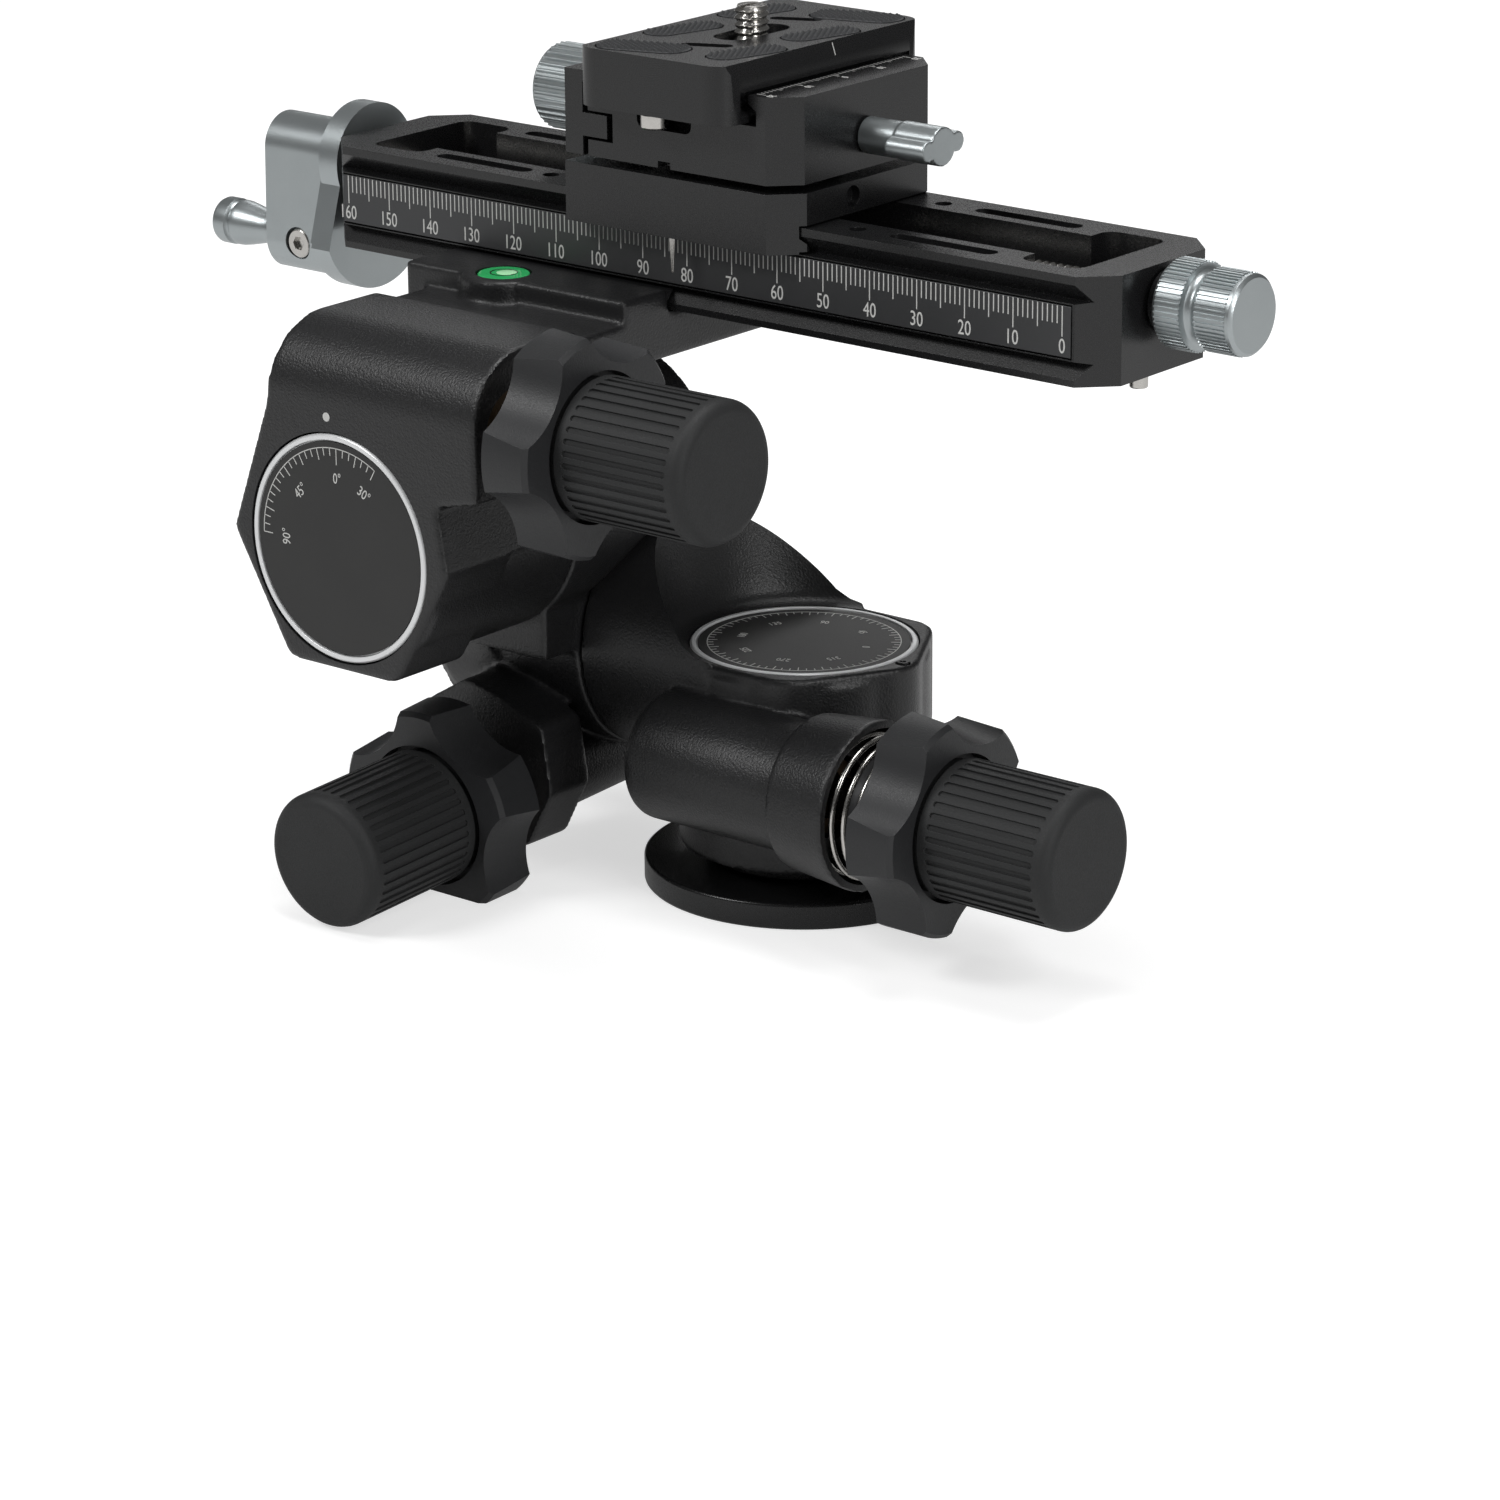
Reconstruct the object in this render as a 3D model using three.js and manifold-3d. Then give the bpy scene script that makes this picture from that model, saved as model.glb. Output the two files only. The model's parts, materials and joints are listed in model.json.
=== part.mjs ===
import * as THREE from "three";
import { mergeVertices } from "three/addons/utils/BufferGeometryUtils.js";
import Module from "manifold-3d";

const wasm = await Module();
wasm.setup();

// Millimetres, +Z up, origin under the base disc on the panning axis.
// +X runs along the rail to its zero mark, the dial of the rolling stage looks to -Y.
const gap = 0.3;
const jointGap = 0.6;
const cutMargin = 2;
const roundSteps = 18;
const fineSteps = 28;
const smallSteps = 9;
const hiddenSteps = 8;
const weldShare = 0.00001;

// The three turning stages share one worm gear.
const gear = {
  axisDistance: 24.6, teeth: 48, wheelRadius: 19, wheelWidth: 7, toothDepth: 1.5,
  mesh: 0.6, threadDepth: 1.3, threadSink: 0.6, threadRootShare: 0.5, threadCurls: 4, threadTail: 0.4,
};
const stage = {
  hexFlat: 22, hexRound: 3.2, hexLength: 17, jointRadius: 22.6, cavityRadius: 20.7, floorThickness: 3.4,
  shaftRadius: 7.5, shaftGrip: 8,
  bearingWidth: 4, bearingDepth: 5.2, rollBearingDepth: 20,
};
const dial = {
  ringRadius: 20.4, ringWidth: 1.1, cupDepth: 1.9, cupFloor: 1, plateSink: 0.25,
  hubRadius: 6, hubDepth: 1.2, chamfer: 0.35,
};
const drive = {
  tunnelRadius: 7.4, shaftRadius: 4, bushRadius: 7.1, bushWidth: 5, rearBearing: 2.8, barrelEnd: 35,
  throatDepth: 8, collarStart: 43.8, collarEnd: 53.3, collarHubLength: 7,
  collarRadius: 19.6, collarLobes: 5, scallopRadius: 13, scallopFrontDepth: 4.6,
  scallopBackDepth: 2.9, collarBore: 4.7, collarRecessRadius: 13.1, collarRecessDepth: 3.2,
  collarChamfer: 0.8, knobStart: 50.5, knobEnd: 80.4, knobRadius: 12.4, knobRound: 2.2,
  knobCoreRadius: 9.4, knobCoreStart: 52, knobCoreEnd: 76, ribCount: 22, ribDepth: 0.7,
  ribShare: 0.3, ribStart: 55.2, ribEnd: 77.6,
};
const spring = { wireRadius: 0.5, stepsPerCurl: 8, sides: 5 };

// The panning drive opens into a wide throat, the other two end flush.
const wide = { throat: 13.8, hub: 10.4, coil: 12.6, start: 28.4, end: 42.6, curls: 5, bushStart: 20 };
const slim = { hub: 7.5, coil: 9.6, start: 37, end: 42.9, curls: 3, bushStart: 28 };

const base = {
  radius: 29, thickness: 4.8, chamfer: 0.6, boreRadius: 7,
};
const bush = { radius: 6.6, bore: 4.75, height: 9 };
const pan = {
  dialTop: 44.45, wormHeight: 27.3, barrelStart: -12.5, barrelRadius: 11.7, barrelSeam: 21.5,
  barrelWideRadius: 13.9, barrelEndRadius: 15.2, barrelRound: 1.6, spindleFlangeRadius: 17.6,
  spindleFlangeThickness: 4.6, footRadius: 22.9, footHeight: 7.8, footWall: 4.4, flangeRoom: 2.2,
  tunnelStart: -11.2, indexRadius: 1.1, indexReach: 22.2, indexLength: 5, indexSocket: 0.5,
  wormFacing: 0, collarPhase: 180,
};
const tilt = {
  axisHeight: 41.3, armStart: -33.1, armReach: -4, armClearance: 24.4, dialEnd: -70.4,
  wormPlane: -48.1, wormSlope: 0.05, wormShift: 4.6, boxStart: 20.5, boxEnd: 31.4, boxRound: 3,
  boxOutline: [[-9, -11.5], [9, -11.5], [15, 0], [13, 12], [3, 16], [-5, 18], [-15, 12], [-15, 0]],
  tubeRadius: 9.6, tubeRound: 1.4, tubeEnd: -10.2, tunnelStart: -8.6, wormFacing: 90, collarPhase: 22,
};
// From here on heights are counted from the rolling axis, except axisHeight itself.
const roll = {
  axisX: -48.1, axisHeight: 68.6, faceY: -68.6, wormY: -58.2, wormShift: -50, tunnelStart: -9.5,
  blockOutline: [
    [-73.2, 0], [-64.5, 23.4], [-62.4, 38.4], [-15.7, 38.4], [-15.7, 13.4], [-25, 11.4], [-23, 0],
  ],
  blockRight: -15.7, blockTop: 38.4, blockBack: -42, shoulderY: -57, shoulderZ: 25.9, shoulderRadius: 12.5,
  armFront: 31.2, armBack: 7, armWebLeft: -64, armWebRight: -34, wormFacing: 270, collarPhase: 180,
};

// Half the width of the sliding rail, and what its jaws and carriage leave free on each side.
const railHalf = 17.4;
const slidePlay = 0.35;

const deck = {
  left: -66.4, right: -15.5, front: -30, back: railHalf - 0.2, bottom: 28.8, top: 36.95, neckLeft: -61.5,
  jawTop: 41.1, jawInner: -railHalf - slidePlay, lipReach: 1.7, lipLow: 38.7, lipTip: 40.5, lipHigh: 40.9,
  vialX: -46.4, vialY: -26.2, vialBossRadius: 7.6, vialBossLow: 34.4, vialRadius: 4.7, vialDepth: 4.4,
  rearJawBack: railHalf + 9.6, rearJawLeft: -62, rearJawRight: -19.5, rearJawLow: 28.8, rearJawChamfer: 1.5,
  jawScrewX: -40.6, jawScrewHeight: 32.8, jawScrewRadius: 2.6, jawScrewHole: 18,
  jawKnobStart: railHalf + 10.2, jawKnobEnd: railHalf + 24.6, jawKnobRadius: 8.2,
  jawKnobFlutes: 18, jawKnobFluteDepth: 0.6, guidePinRadius: 2,
  guidePinSpread: 15, guidePinDepth: 9,
};
const rail = {
  left: -98.5, right: 76.34, halfWidth: railHalf, bottom: 37.3, top: 55.95, chamfer: 5.54,
  grooveDepth: 2.3, topLip: 54.5, topGroove: 51.6, faceTop: 51.3, faceBottom: 41.6,
  lowGroove: 41.1, lowLip: 38.5, channelHalf: 8, channelFloor: 41.8, pocketHalf: 13,
  pocketRound: 3, pocketFloor: 43.6, rightPocketStart: 55.8, rightPocketEnd: 68.2,
  leftPocketStart: -90.2, leftPocketEnd: -78.2, slotOffset: 12, slotWidth: 3.2, slotLength: 22,
  slotDepth: 1.6, rightSlotX: 39.8, leftSlotX: -63.2, rightHoleX: 21.6, leftHoleX: -47.4,
  holeRadius: 1.5, holeDepth: 3, pinX: 71.6, pinRadius: 1.6, pinLength: 3.4, pinGrip: 3,
  screwAxis: 49.6,
};
const scale = { left: -93, right: 70, thickness: 0.8, margin: 0.2 };
const lead = {
  radius: 3, journalRadius: 2.4, leftEnd: -112, rightEnd: 86, threadCount: 13, threadDepth: 0.5,
  bushRadius: 4.6, bushFlangeRadius: 5.3, bushFlangeWidth: 1.6, bushBore: 2.7,
};
const fine = {
  start: 78.9, end: 94.3, radius: 7.7, waistRadius: 6.3, waistStart: 84.4, waistEnd: 87,
  endRadius: 7.1, chamfer: 0.6, fluteCount: 15, fluteDepth: 0.45, fluteShare: 0.32,
};
const crank = {
  plateInner: -101.2, plateOuter: -107.2, topRadius: 10.4, lowRadius: 14, lowDrop: 10.4, chamfer: 1.4,
  armOuter: -123.6, armTopRadius: 6.2, armLowRadius: 6.6, armLowDrop: 17, forkWidth: 6.2,
  forkDepth: 11.5, forkRise: 9, bore: 2.7, handleEnd: -140.5, handleRadius: 4.4, handleRound: 0.8,
  neckRadius: 2.9, neckStart: -124.6, neckEnd: -128.4, tongueHalf: 2.9, grooveX: -136.6,
  grooveDepth: 0.7, pivotX: -115.6, pivotRadius: 1.4, pivotHeadRadius: 2.8, pivotHeadDepth: 1.4,
  pivotSink: 0.2,
};
const carriage = {
  left: -35.4, right: 14.4, halfWidth: railHalf + 4.4, bottom: 51.35, top: 61.9, underside: 56.3,
  inner: railHalf + slidePlay, chamfer: 5, lipDepth: 1.6, lipLow: 51.8, lipMiddle: 52.5, lipHigh: 54.1,
  lockY: -4.2, lockHeight: 59.2, lockRadius: 1.9, lockDepth: 1.6,
  nutHalfX: 9, nutHalfY: 7.4, nutBottom: 45, nutBore: 3.3,
  pointerX: -11.7, pointerHalf: 0.6, pointerThickness: 0.5, pointerBottom: 45.3, pointerTop: 55.4,
  pointerSlot: 0.9,
};
const clamp = {
  left: -30, right: 14.2, halfWidth: carriage.halfWidth, bottom: 63.4, floor: 73.3, top: 78.5, chamfer: 4.7,
  jawX: 5.8, undercutX: 7.5, undercutLow: 75.9, lipUnder: 77, spacerRadius: 15, tongueSlotX: -24.4,
  tongueSlotLow: 66.3, tongueSlotHigh: 71.4,
  recessLeft: -18.9, recessRight: -6.8, recessLow: 70, recessDepth: 6, notchLeft: -14.3,
  notchRight: -11.5, notchTop: 64.6, notchDepth: 2.4, boltHeight: 69.2,
  mountRadius: 1.9, mountBarWidth: 5.2, mountBarHeight: 1.3, mountDepth: 5, mountX: -10.3,
  mountSpread: 9,
};
const jaw = {
  outer: -35.2, inner: -31.2, tongueEnd: -25.7, tongueLow: 66.8, tongueHigh: 70.9, top: 78.3,
  lipReach: 1.7, lipLow: 76.3, lipSlope: 77.3, tongueHalf: clamp.halfWidth, round: 0.8,
};
const bolt = { radius: 1.8, left: -52 };
const clampKnob = {
  start: -37.4, end: -55.8, radius: 7.8, neckRadius: 5, flutes: 18, depth: 0.4, share: 0.3, round: 0.8,
};
const wing = {
  stemRadius: 3.2, stemStart: 14.7, start: 22.3, end: 30.6, lobeReach: 5.8, lobeRadius: 1.8, hubRadius: 3.4,
  lobes: 2, phase: 4,
};
const plate = {
  left: -28.2, right: 5.4, halfLength: 27.7, top: 83.9, bottom: 73.7, chamfer: 1, sideBevel: 81,
  grooveHeight: 79, grooveDepth: 1.9, footHigh: 75.8, footReach: 1.9, footLow: 74.8, lipLength: 4.4,
  slotHalfWidth: 3.5, slotHalfLength: 8.4, screwX: -11.1, counterHalfWidth: 6, counterDepth: 4.6,
  padDepth: 2,
  curvedLength: 9.4, curvedWidth: 2.7, curvedX: 1.2, curvedY: 13.7, curvedTurn: 24,
};
const pad = {
  rise: 0.5, linkWidth: 1.6, linkHeight: 0.8, endLong: 17, endWide: 8.2, sideLong: 15.4,
  sideWide: 6.8, endX: 6.2, endY: 22.2, endTurn: 16,
  frontX: 11.9, frontY: 15.6, middleX: 11.2, middleY: 5.4, sideTurn: 76,
};
const cameraScrew = {
  radius: 3.1, headRadius: 5.6, headThickness: 2.6, bottom: 74.6, top: 88.8, tip: 0.8,
  socketRadius: 2.4, socketDepth: 1.2,
};
const stopPin = {
  x: -12.9, y: -24.2, radius: 1.4, headRadius: 2.4, headLow: 70.9, headHigh: 73.4, top: 78.4,
};

const castBlack = { color: 0x2a2b2c, roughness: 0.62, metalness: 0.35 };
const anodised = { color: 0x2f3032, roughness: 0.4, metalness: 0.6 };
const rubber = { color: 0x303031, roughness: 0.85, metalness: 0 };
const collarBlack = { color: 0x333435, roughness: 0.5, metalness: 0.4 };
const steel = { color: 0xc4c6c8, roughness: 0.28, metalness: 0.95 };
const silver = { color: 0xb4b8b7, roughness: 0.35, metalness: 0.9 };
const bronze = { color: 0xa8814c, roughness: 0.4, metalness: 0.9 };
const dialBlack = { color: 0x3c3c3c, roughness: 0.7, metalness: 0.1 };
const padRubber = { color: 0x55575a, roughness: 0.95, metalness: 0 };
const vialGreen = { color: 0x3f9a4c, roughness: 0.15, metalness: 0 };
const scaleGrey = { color: 0x4a4b4d, roughness: 0.45, metalness: 0.5 };

const group = new THREE.Group();
group.name = "geared_tripod_head";

const AXIS_X = new THREE.Vector3(1, 0, 0);
const AXIS_Y = new THREE.Vector3(0, 1, 0);
const AXIS_Z = new THREE.Vector3(0, 0, 1);
const TURN = Math.PI * 2;

function radians(degrees) {
  return THREE.MathUtils.degToRad(degrees);
}

// Welds a geometry and hands it over as a closed solid, turned right side out.
function solid(geometry, frame) {
  const copy = geometry.clone();
  if (frame) {
    copy.applyMatrix4(frame);
  }
  copy.deleteAttribute("normal");
  copy.deleteAttribute("uv");
  copy.computeBoundingSphere();
  const joined = mergeVertices(copy, copy.boundingSphere.radius * weldShare);
  const spots = joined.attributes.position.array;
  const corners = [];
  const index = joined.index.array;
  for (let i = 0; i < index.length; i += 3) {
    const [a, b, c] = [index[i], index[i + 1], index[i + 2]];
    if (a !== b && b !== c && c !== a) {
      corners.push(a, b, c);
    }
  }
  if (volumeOf(spots, corners) < 0) {
    for (let i = 0; i < corners.length; i += 3) {
      [corners[i], corners[i + 1]] = [corners[i + 1], corners[i]];
    }
  }
  const mesh = new wasm.Mesh({
    numProp: 3,
    vertProperties: new Float32Array(spots),
    triVerts: new Uint32Array(corners),
  });
  return new wasm.Manifold(mesh);
}

function volumeOf(spots, corners) {
  let sum = 0;
  const [p, q, r] = [new THREE.Vector3(), new THREE.Vector3(), new THREE.Vector3()];
  for (let i = 0; i < corners.length; i += 3) {
    p.fromArray(spots, corners[i] * 3);
    q.fromArray(spots, corners[i + 1] * 3);
    r.fromArray(spots, corners[i + 2] * 3);
    sum += p.dot(q.cross(r));
  }
  return sum;
}

function geometryOf(body) {
  const mesh = body.getMesh();
  const geometry = new THREE.BufferGeometry();
  const spots = new Float32Array(mesh.vertProperties);
  geometry.setAttribute("position", new THREE.BufferAttribute(spots, 3));
  geometry.setIndex(new THREE.BufferAttribute(new Uint32Array(mesh.triVerts), 1));
  const open = geometry.toNonIndexed();
  open.computeVertexNormals();
  return open;
}

// Bodies built in a local frame are laid into the world by that frame.
function addPiece(name, body, paint, frame) {
  const geometry = geometryOf(body);
  if (frame) {
    geometry.applyMatrix4(frame);
  }
  const mesh = new THREE.Mesh(geometry, new THREE.MeshStandardMaterial(paint));
  mesh.name = name;
  group.add(mesh);
}

// Pieces above the rolling axis are built with that axis at height zero.
function addUpper(name, body, paint) {
  addPiece(name, body, paint, upper);
}

function joinAll(bodies) {
  return bodies.reduce((sum, body) => sum.add(body));
}

function cutAll(body, cutters) {
  return cutters.reduce((rest, cutter) => rest.subtract(cutter), body);
}

// Frames: columns are the local x, y and z directions, then the local origin.
function frameOf(origin, alongX, alongY) {
  const alongZ = new THREE.Vector3().crossVectors(alongX, alongY);
  return new THREE.Matrix4().makeBasis(alongX, alongY, alongZ).setPosition(origin);
}

function shift(x, y, z) {
  return new THREE.Matrix4().makeTranslation(x, y, z);
}

function box(x0, x1, y0, y1, z0, z1, frame) {
  const geometry = new THREE.BoxGeometry(x1 - x0, y1 - y0, z1 - z0);
  geometry.translate((x0 + x1) / 2, (y0 + y1) / 2, (z0 + z1) / 2);
  return solid(geometry, frame);
}

// A turned body about local z, from [radius, height] pairs.
function turned(profile, steps, frame) {
  const points = profile.map(([r, z]) => new THREE.Vector2(r, z));
  const geometry = new THREE.LatheGeometry(points, steps);
  geometry.rotateX(Math.PI / 2);
  return solid(geometry, frame);
}

function rod(radius, z0, z1, frame, steps = roundSteps) {
  return turned([[0, z0], [radius, z0], [radius, z1], [0, z1]], steps, frame);
}

function tube(outer, inner, z0, z1, frame, steps = roundSteps) {
  return turned([[inner, z0], [outer, z0], [outer, z1], [inner, z1], [inner, z0]], steps, frame);
}

function outlineOf(pairs) {
  return new THREE.Shape(pairs.map(([a, b]) => new THREE.Vector2(a, b)));
}

// A straight body from an outline in local x and y, between two heights.
function prism(shape, z0, z1, frame, steps = 6) {
  const geometry = new THREE.ExtrudeGeometry(
    shape, { depth: z1 - z0, bevelEnabled: false, curveSegments: steps },
  );
  geometry.translate(0, 0, z0);
  return solid(geometry, frame);
}

// World frames whose local z runs along one world axis.
const alongX = frameOf(new THREE.Vector3(), AXIS_Y, AXIS_Z);
const alongMinusY = frameOf(new THREE.Vector3(), AXIS_X, AXIS_Z);

function at(frame, x, y, z) {
  return frame.clone().premultiply(shift(x, y, z));
}

// Regular or free polygon with every corner rounded by a short arc.
function roundedOutline(corners, radius) {
  const shape = new THREE.Shape();
  const count = corners.length;
  for (let i = 0; i < count; i += 1) {
    const here = new THREE.Vector2(...corners[i]);
    const before = new THREE.Vector2(...corners[(i + count - 1) % count]);
    const after = new THREE.Vector2(...corners[(i + 1) % count]);
    const toBefore = before.clone().sub(here);
    const toAfter = after.clone().sub(here);
    const half = Math.abs(toBefore.angleTo(toAfter)) / 2;
    const reach = Math.min(radius / Math.tan(half), toBefore.length() / 2, toAfter.length() / 2);
    const start = here.clone().add(toBefore.setLength(reach));
    const end = here.clone().add(toAfter.setLength(reach));
    if (i === 0) {
      shape.moveTo(start.x, start.y);
    } else {
      shape.lineTo(start.x, start.y);
    }
    shape.quadraticCurveTo(here.x, here.y, end.x, end.y);
  }
  shape.closePath();
  return shape;
}

function polygon(count, radius, turn) {
  return Array.from({ length: count }, (_, i) => {
    const angle = (i / count) * TURN + turn;
    return [radius * Math.cos(angle), radius * Math.sin(angle)];
  });
}

function slotOutline(halfLength, halfWidth) {
  const shape = new THREE.Shape();
  const reach = halfLength - halfWidth;
  shape.absarc(reach, 0, halfWidth, -Math.PI / 2, Math.PI / 2, false);
  shape.absarc(-reach, 0, halfWidth, Math.PI / 2, (Math.PI * 3) / 2, false);
  shape.closePath();
  return shape;
}

// A round outline with evenly spaced V notches cut into its rim.
function notchedOutline(radius, depth, count, share) {
  const pairs = [];
  for (let i = 0; i < count; i += 1) {
    const middle = (i / count) * TURN;
    const half = (share * TURN) / count / 2;
    pairs.push([radius * Math.cos(middle - half), radius * Math.sin(middle - half)]);
    pairs.push([(radius - depth) * Math.cos(middle), (radius - depth) * Math.sin(middle)]);
    pairs.push([radius * Math.cos(middle + half), radius * Math.sin(middle + half)]);
  }
  return outlineOf(pairs);
}

// Stage frames sit on the dial face centre with local z looking out of the dial.
const panStage = frameOf(new THREE.Vector3(0, 0, pan.dialTop), AXIS_X, AXIS_Y);
const tiltStage = frameOf(
  new THREE.Vector3(tilt.dialEnd, 0, tilt.axisHeight), AXIS_Y.clone().negate(), AXIS_Z,
);
const upper = shift(0, 0, roll.axisHeight);
const rollFace = frameOf(new THREE.Vector3(roll.axisX, roll.faceY, 0), AXIS_X, AXIS_Z);
const rollStage = upper.clone().multiply(rollFace);
const panWheelDepth = pan.dialTop - pan.wormHeight;
const tiltWheelDepth = tilt.wormPlane - tilt.dialEnd;
const rollWheelDepth = roll.wormY - roll.faceY;

// Drive frames sit on the worm axis with local z running out to the knob.
const panDrive = frameOf(new THREE.Vector3(0, -gear.axisDistance, pan.wormHeight), AXIS_Y, AXIS_Z);
const tiltRise = tilt.wormShift * tilt.wormSlope;
const tiltDrive = frameOf(
  new THREE.Vector3(tilt.wormPlane, tilt.wormShift, tilt.axisHeight - gear.axisDistance + tiltRise),
  AXIS_X,
  new THREE.Vector3(0, -tilt.wormSlope, 1).normalize(),
);
const rollWormLine = frameOf(
  new THREE.Vector3(roll.wormShift, roll.wormY, gear.axisDistance), AXIS_Y, AXIS_Z,
);
const rollDrive = upper.clone().multiply(rollWormLine);
const rollMiddle = roll.axisX - roll.wormShift;
const wormRadius = gear.axisDistance - gear.wheelRadius + gear.mesh;
const threadPitch = (TURN * gear.wheelRadius) / gear.teeth;
const hexRadius = stage.hexFlat / Math.cos(Math.PI / 6);

// V-shaped teeth, with a gap on every quarter axis for the worm.
function wheelOutline() {
  const pairs = [];
  const pitch = TURN / gear.teeth;
  const rootRadius = gear.wheelRadius - gear.toothDepth;
  for (let i = 0; i < gear.teeth; i += 1) {
    const root = i * pitch;
    const tip = (i + 0.5) * pitch;
    pairs.push([rootRadius * Math.cos(root), rootRadius * Math.sin(root)]);
    pairs.push([gear.wheelRadius * Math.cos(tip), gear.wheelRadius * Math.sin(tip)]);
  }
  return outlineOf(pairs);
}

function addWheel(name, frame, depth) {
  const half = gear.wheelWidth / 2;
  const shape = wheelOutline();
  const hole = new THREE.Path();
  hole.absarc(0, 0, stage.shaftRadius + gap, 0, TURN, true);
  shape.holes.push(hole);
  addPiece(name, prism(shape, -depth - half, -depth + half, frame, smallSteps), bronze);
}

// The stage shaft: gripped below the joint, reaching up to the dial.
function shaftBody(frame, bottom) {
  const top = -dial.cupDepth - gap;
  const step = top - dial.hubDepth;
  return turned([
    [0, bottom], [stage.shaftRadius, bottom], [stage.shaftRadius, step], [dial.hubRadius, step],
    [dial.hubRadius, top], [0, top],
  ], roundSteps, frame);
}

function addDial(prefix, frame) {
  const outer = dial.ringRadius;
  const rim = outer - dial.ringWidth;
  const floor = -dial.cupDepth + dial.cupFloor;
  const cup = turned([
    [0, -dial.cupDepth], [outer, -dial.cupDepth], [outer, -dial.chamfer], [outer - dial.chamfer, 0],
    [rim, 0], [rim, floor], [0, floor],
  ], fineSteps, frame);
  addPiece(`${prefix}_dial_ring`, cup, silver);
  addPiece(`${prefix}_dial`, rod(rim - gap, floor + gap, -dial.plateSink, frame, fineSteps), dialBlack);
}

// Rounded hexagon at the dial end, round towards the joint.
function stageShell(frame, jointDepth) {
  const hex = roundedOutline(polygon(6, hexRadius, 0), stage.hexRound);
  const front = prism(hex, -stage.hexLength, 0, frame, 3);
  const rear = rod(stage.jointRadius, -jointDepth, -dial.cupDepth, frame, fineSteps);
  return front.add(rear);
}

function stageCutters(frame, floorTop) {
  const cavity = rod(stage.cavityRadius, floorTop, cutMargin, frame, fineSteps);
  const bore = rod(
    stage.shaftRadius + gap, floorTop - stage.floorThickness - cutMargin, floorTop + cutMargin,
    frame,
  );
  return [cavity, bore];
}

// Tunnel of the worm: its blind end is bored as the rear bearing.
function wormTunnel(frame, start) {
  const step = start + drive.rearBearing;
  return turned([
    [0, start], [drive.shaftRadius + gap, start], [drive.shaftRadius + gap, step],
    [drive.tunnelRadius, step],
    [drive.tunnelRadius, drive.barrelEnd + cutMargin], [0, drive.barrelEnd + cutMargin],
  ], roundSteps, frame);
}

// Bearing plate that guides the stage shaft under the dial.
function addBearing(name, frame, depth) {
  const inner = stage.shaftRadius + gap;
  addPiece(name, tube(stage.cavityRadius - gap, inner, -depth - stage.bearingWidth, -depth, frame), bronze);
}

// One unbroken wire: a short straight, the curls, a short straight.
class CoilPath extends THREE.Curve {
  constructor(radius, start, end, curls, steps, tail) {
    super();
    Object.assign(this, { radius, start, end, curls, steps, tail });
  }

  getUtoTmapping(u) {
    return u;
  }

  spot(share) {
    const angle = share * this.curls * TURN;
    const z = this.start + (this.end - this.start) * share;
    return new THREE.Vector3(this.radius * Math.cos(angle), this.radius * Math.sin(angle), z);
  }

  getPoint(t) {
    const place = t * this.steps - 1;
    const inner = this.steps - 2;
    if (place >= 0 && place <= inner) {
      return this.spot(place / inner);
    }
    const side = place < 0 ? 0 : 1;
    const angle = side * this.curls * TURN;
    const along = new THREE.Vector3(-Math.sin(angle), Math.cos(angle), 0);
    const over = place < 0 ? place : place - inner;
    return this.spot(side).addScaledVector(along, over * this.tail);
  }
}

// The same path for a thread, whose section keeps looking away from the axis.
class ThreadPath extends CoilPath {
  computeFrenetFrames(segments) {
    const frames = { tangents: [], normals: [], binormals: [] };
    for (let i = 0; i <= segments; i += 1) {
      const tangent = this.getTangentAt(i / segments);
      const spot = this.getPointAt(i / segments);
      const away = new THREE.Vector3(spot.x, spot.y, 0).normalize();
      const across = new THREE.Vector3().crossVectors(tangent, away).normalize();
      frames.tangents.push(tangent);
      frames.normals.push(new THREE.Vector3().crossVectors(across, tangent).normalize());
      frames.binormals.push(across);
    }
    return frames;
  }
}

// Worm, shaft and the core that carries the rubber knob; its ridge faces the wheel at the worm's middle.
function addWorm(name, frame, start, middle, facing) {
  const root = wormRadius - gear.threadDepth;
  const low = middle - threadPitch * (Math.floor(gear.threadCurls / 2) + facing / TURN);
  const high = low + gear.threadCurls * threadPitch;
  const shaft = turned([
    [0, start + gap], [drive.shaftRadius, start + gap], [drive.shaftRadius, low - gear.threadSink],
    [root, low - gear.threadSink], [root, high + gear.threadSink],
    [drive.shaftRadius, high + gear.threadSink],
    [drive.shaftRadius, drive.knobCoreStart], [drive.knobCoreRadius, drive.knobCoreStart],
    [drive.knobCoreRadius, drive.knobCoreEnd], [0, drive.knobCoreEnd],
  ], hiddenSteps);
  const half = (gear.threadRootShare * threadPitch) / 2;
  const foot = (half * (gear.threadDepth + gear.threadSink)) / gear.threadDepth;
  const section = outlineOf([[gear.threadDepth, 0], [-gear.threadSink, foot], [-gear.threadSink, -foot]]);
  const steps = gear.threadCurls * hiddenSteps + 2;
  const path = new ThreadPath(root, low, high, gear.threadCurls, steps, gear.threadTail);
  const ridge = new THREE.ExtrudeGeometry(section, { steps, extrudePath: path, bevelEnabled: false });
  addPiece(name, shaft.add(solid(ridge)), steel, frame);
}

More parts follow.
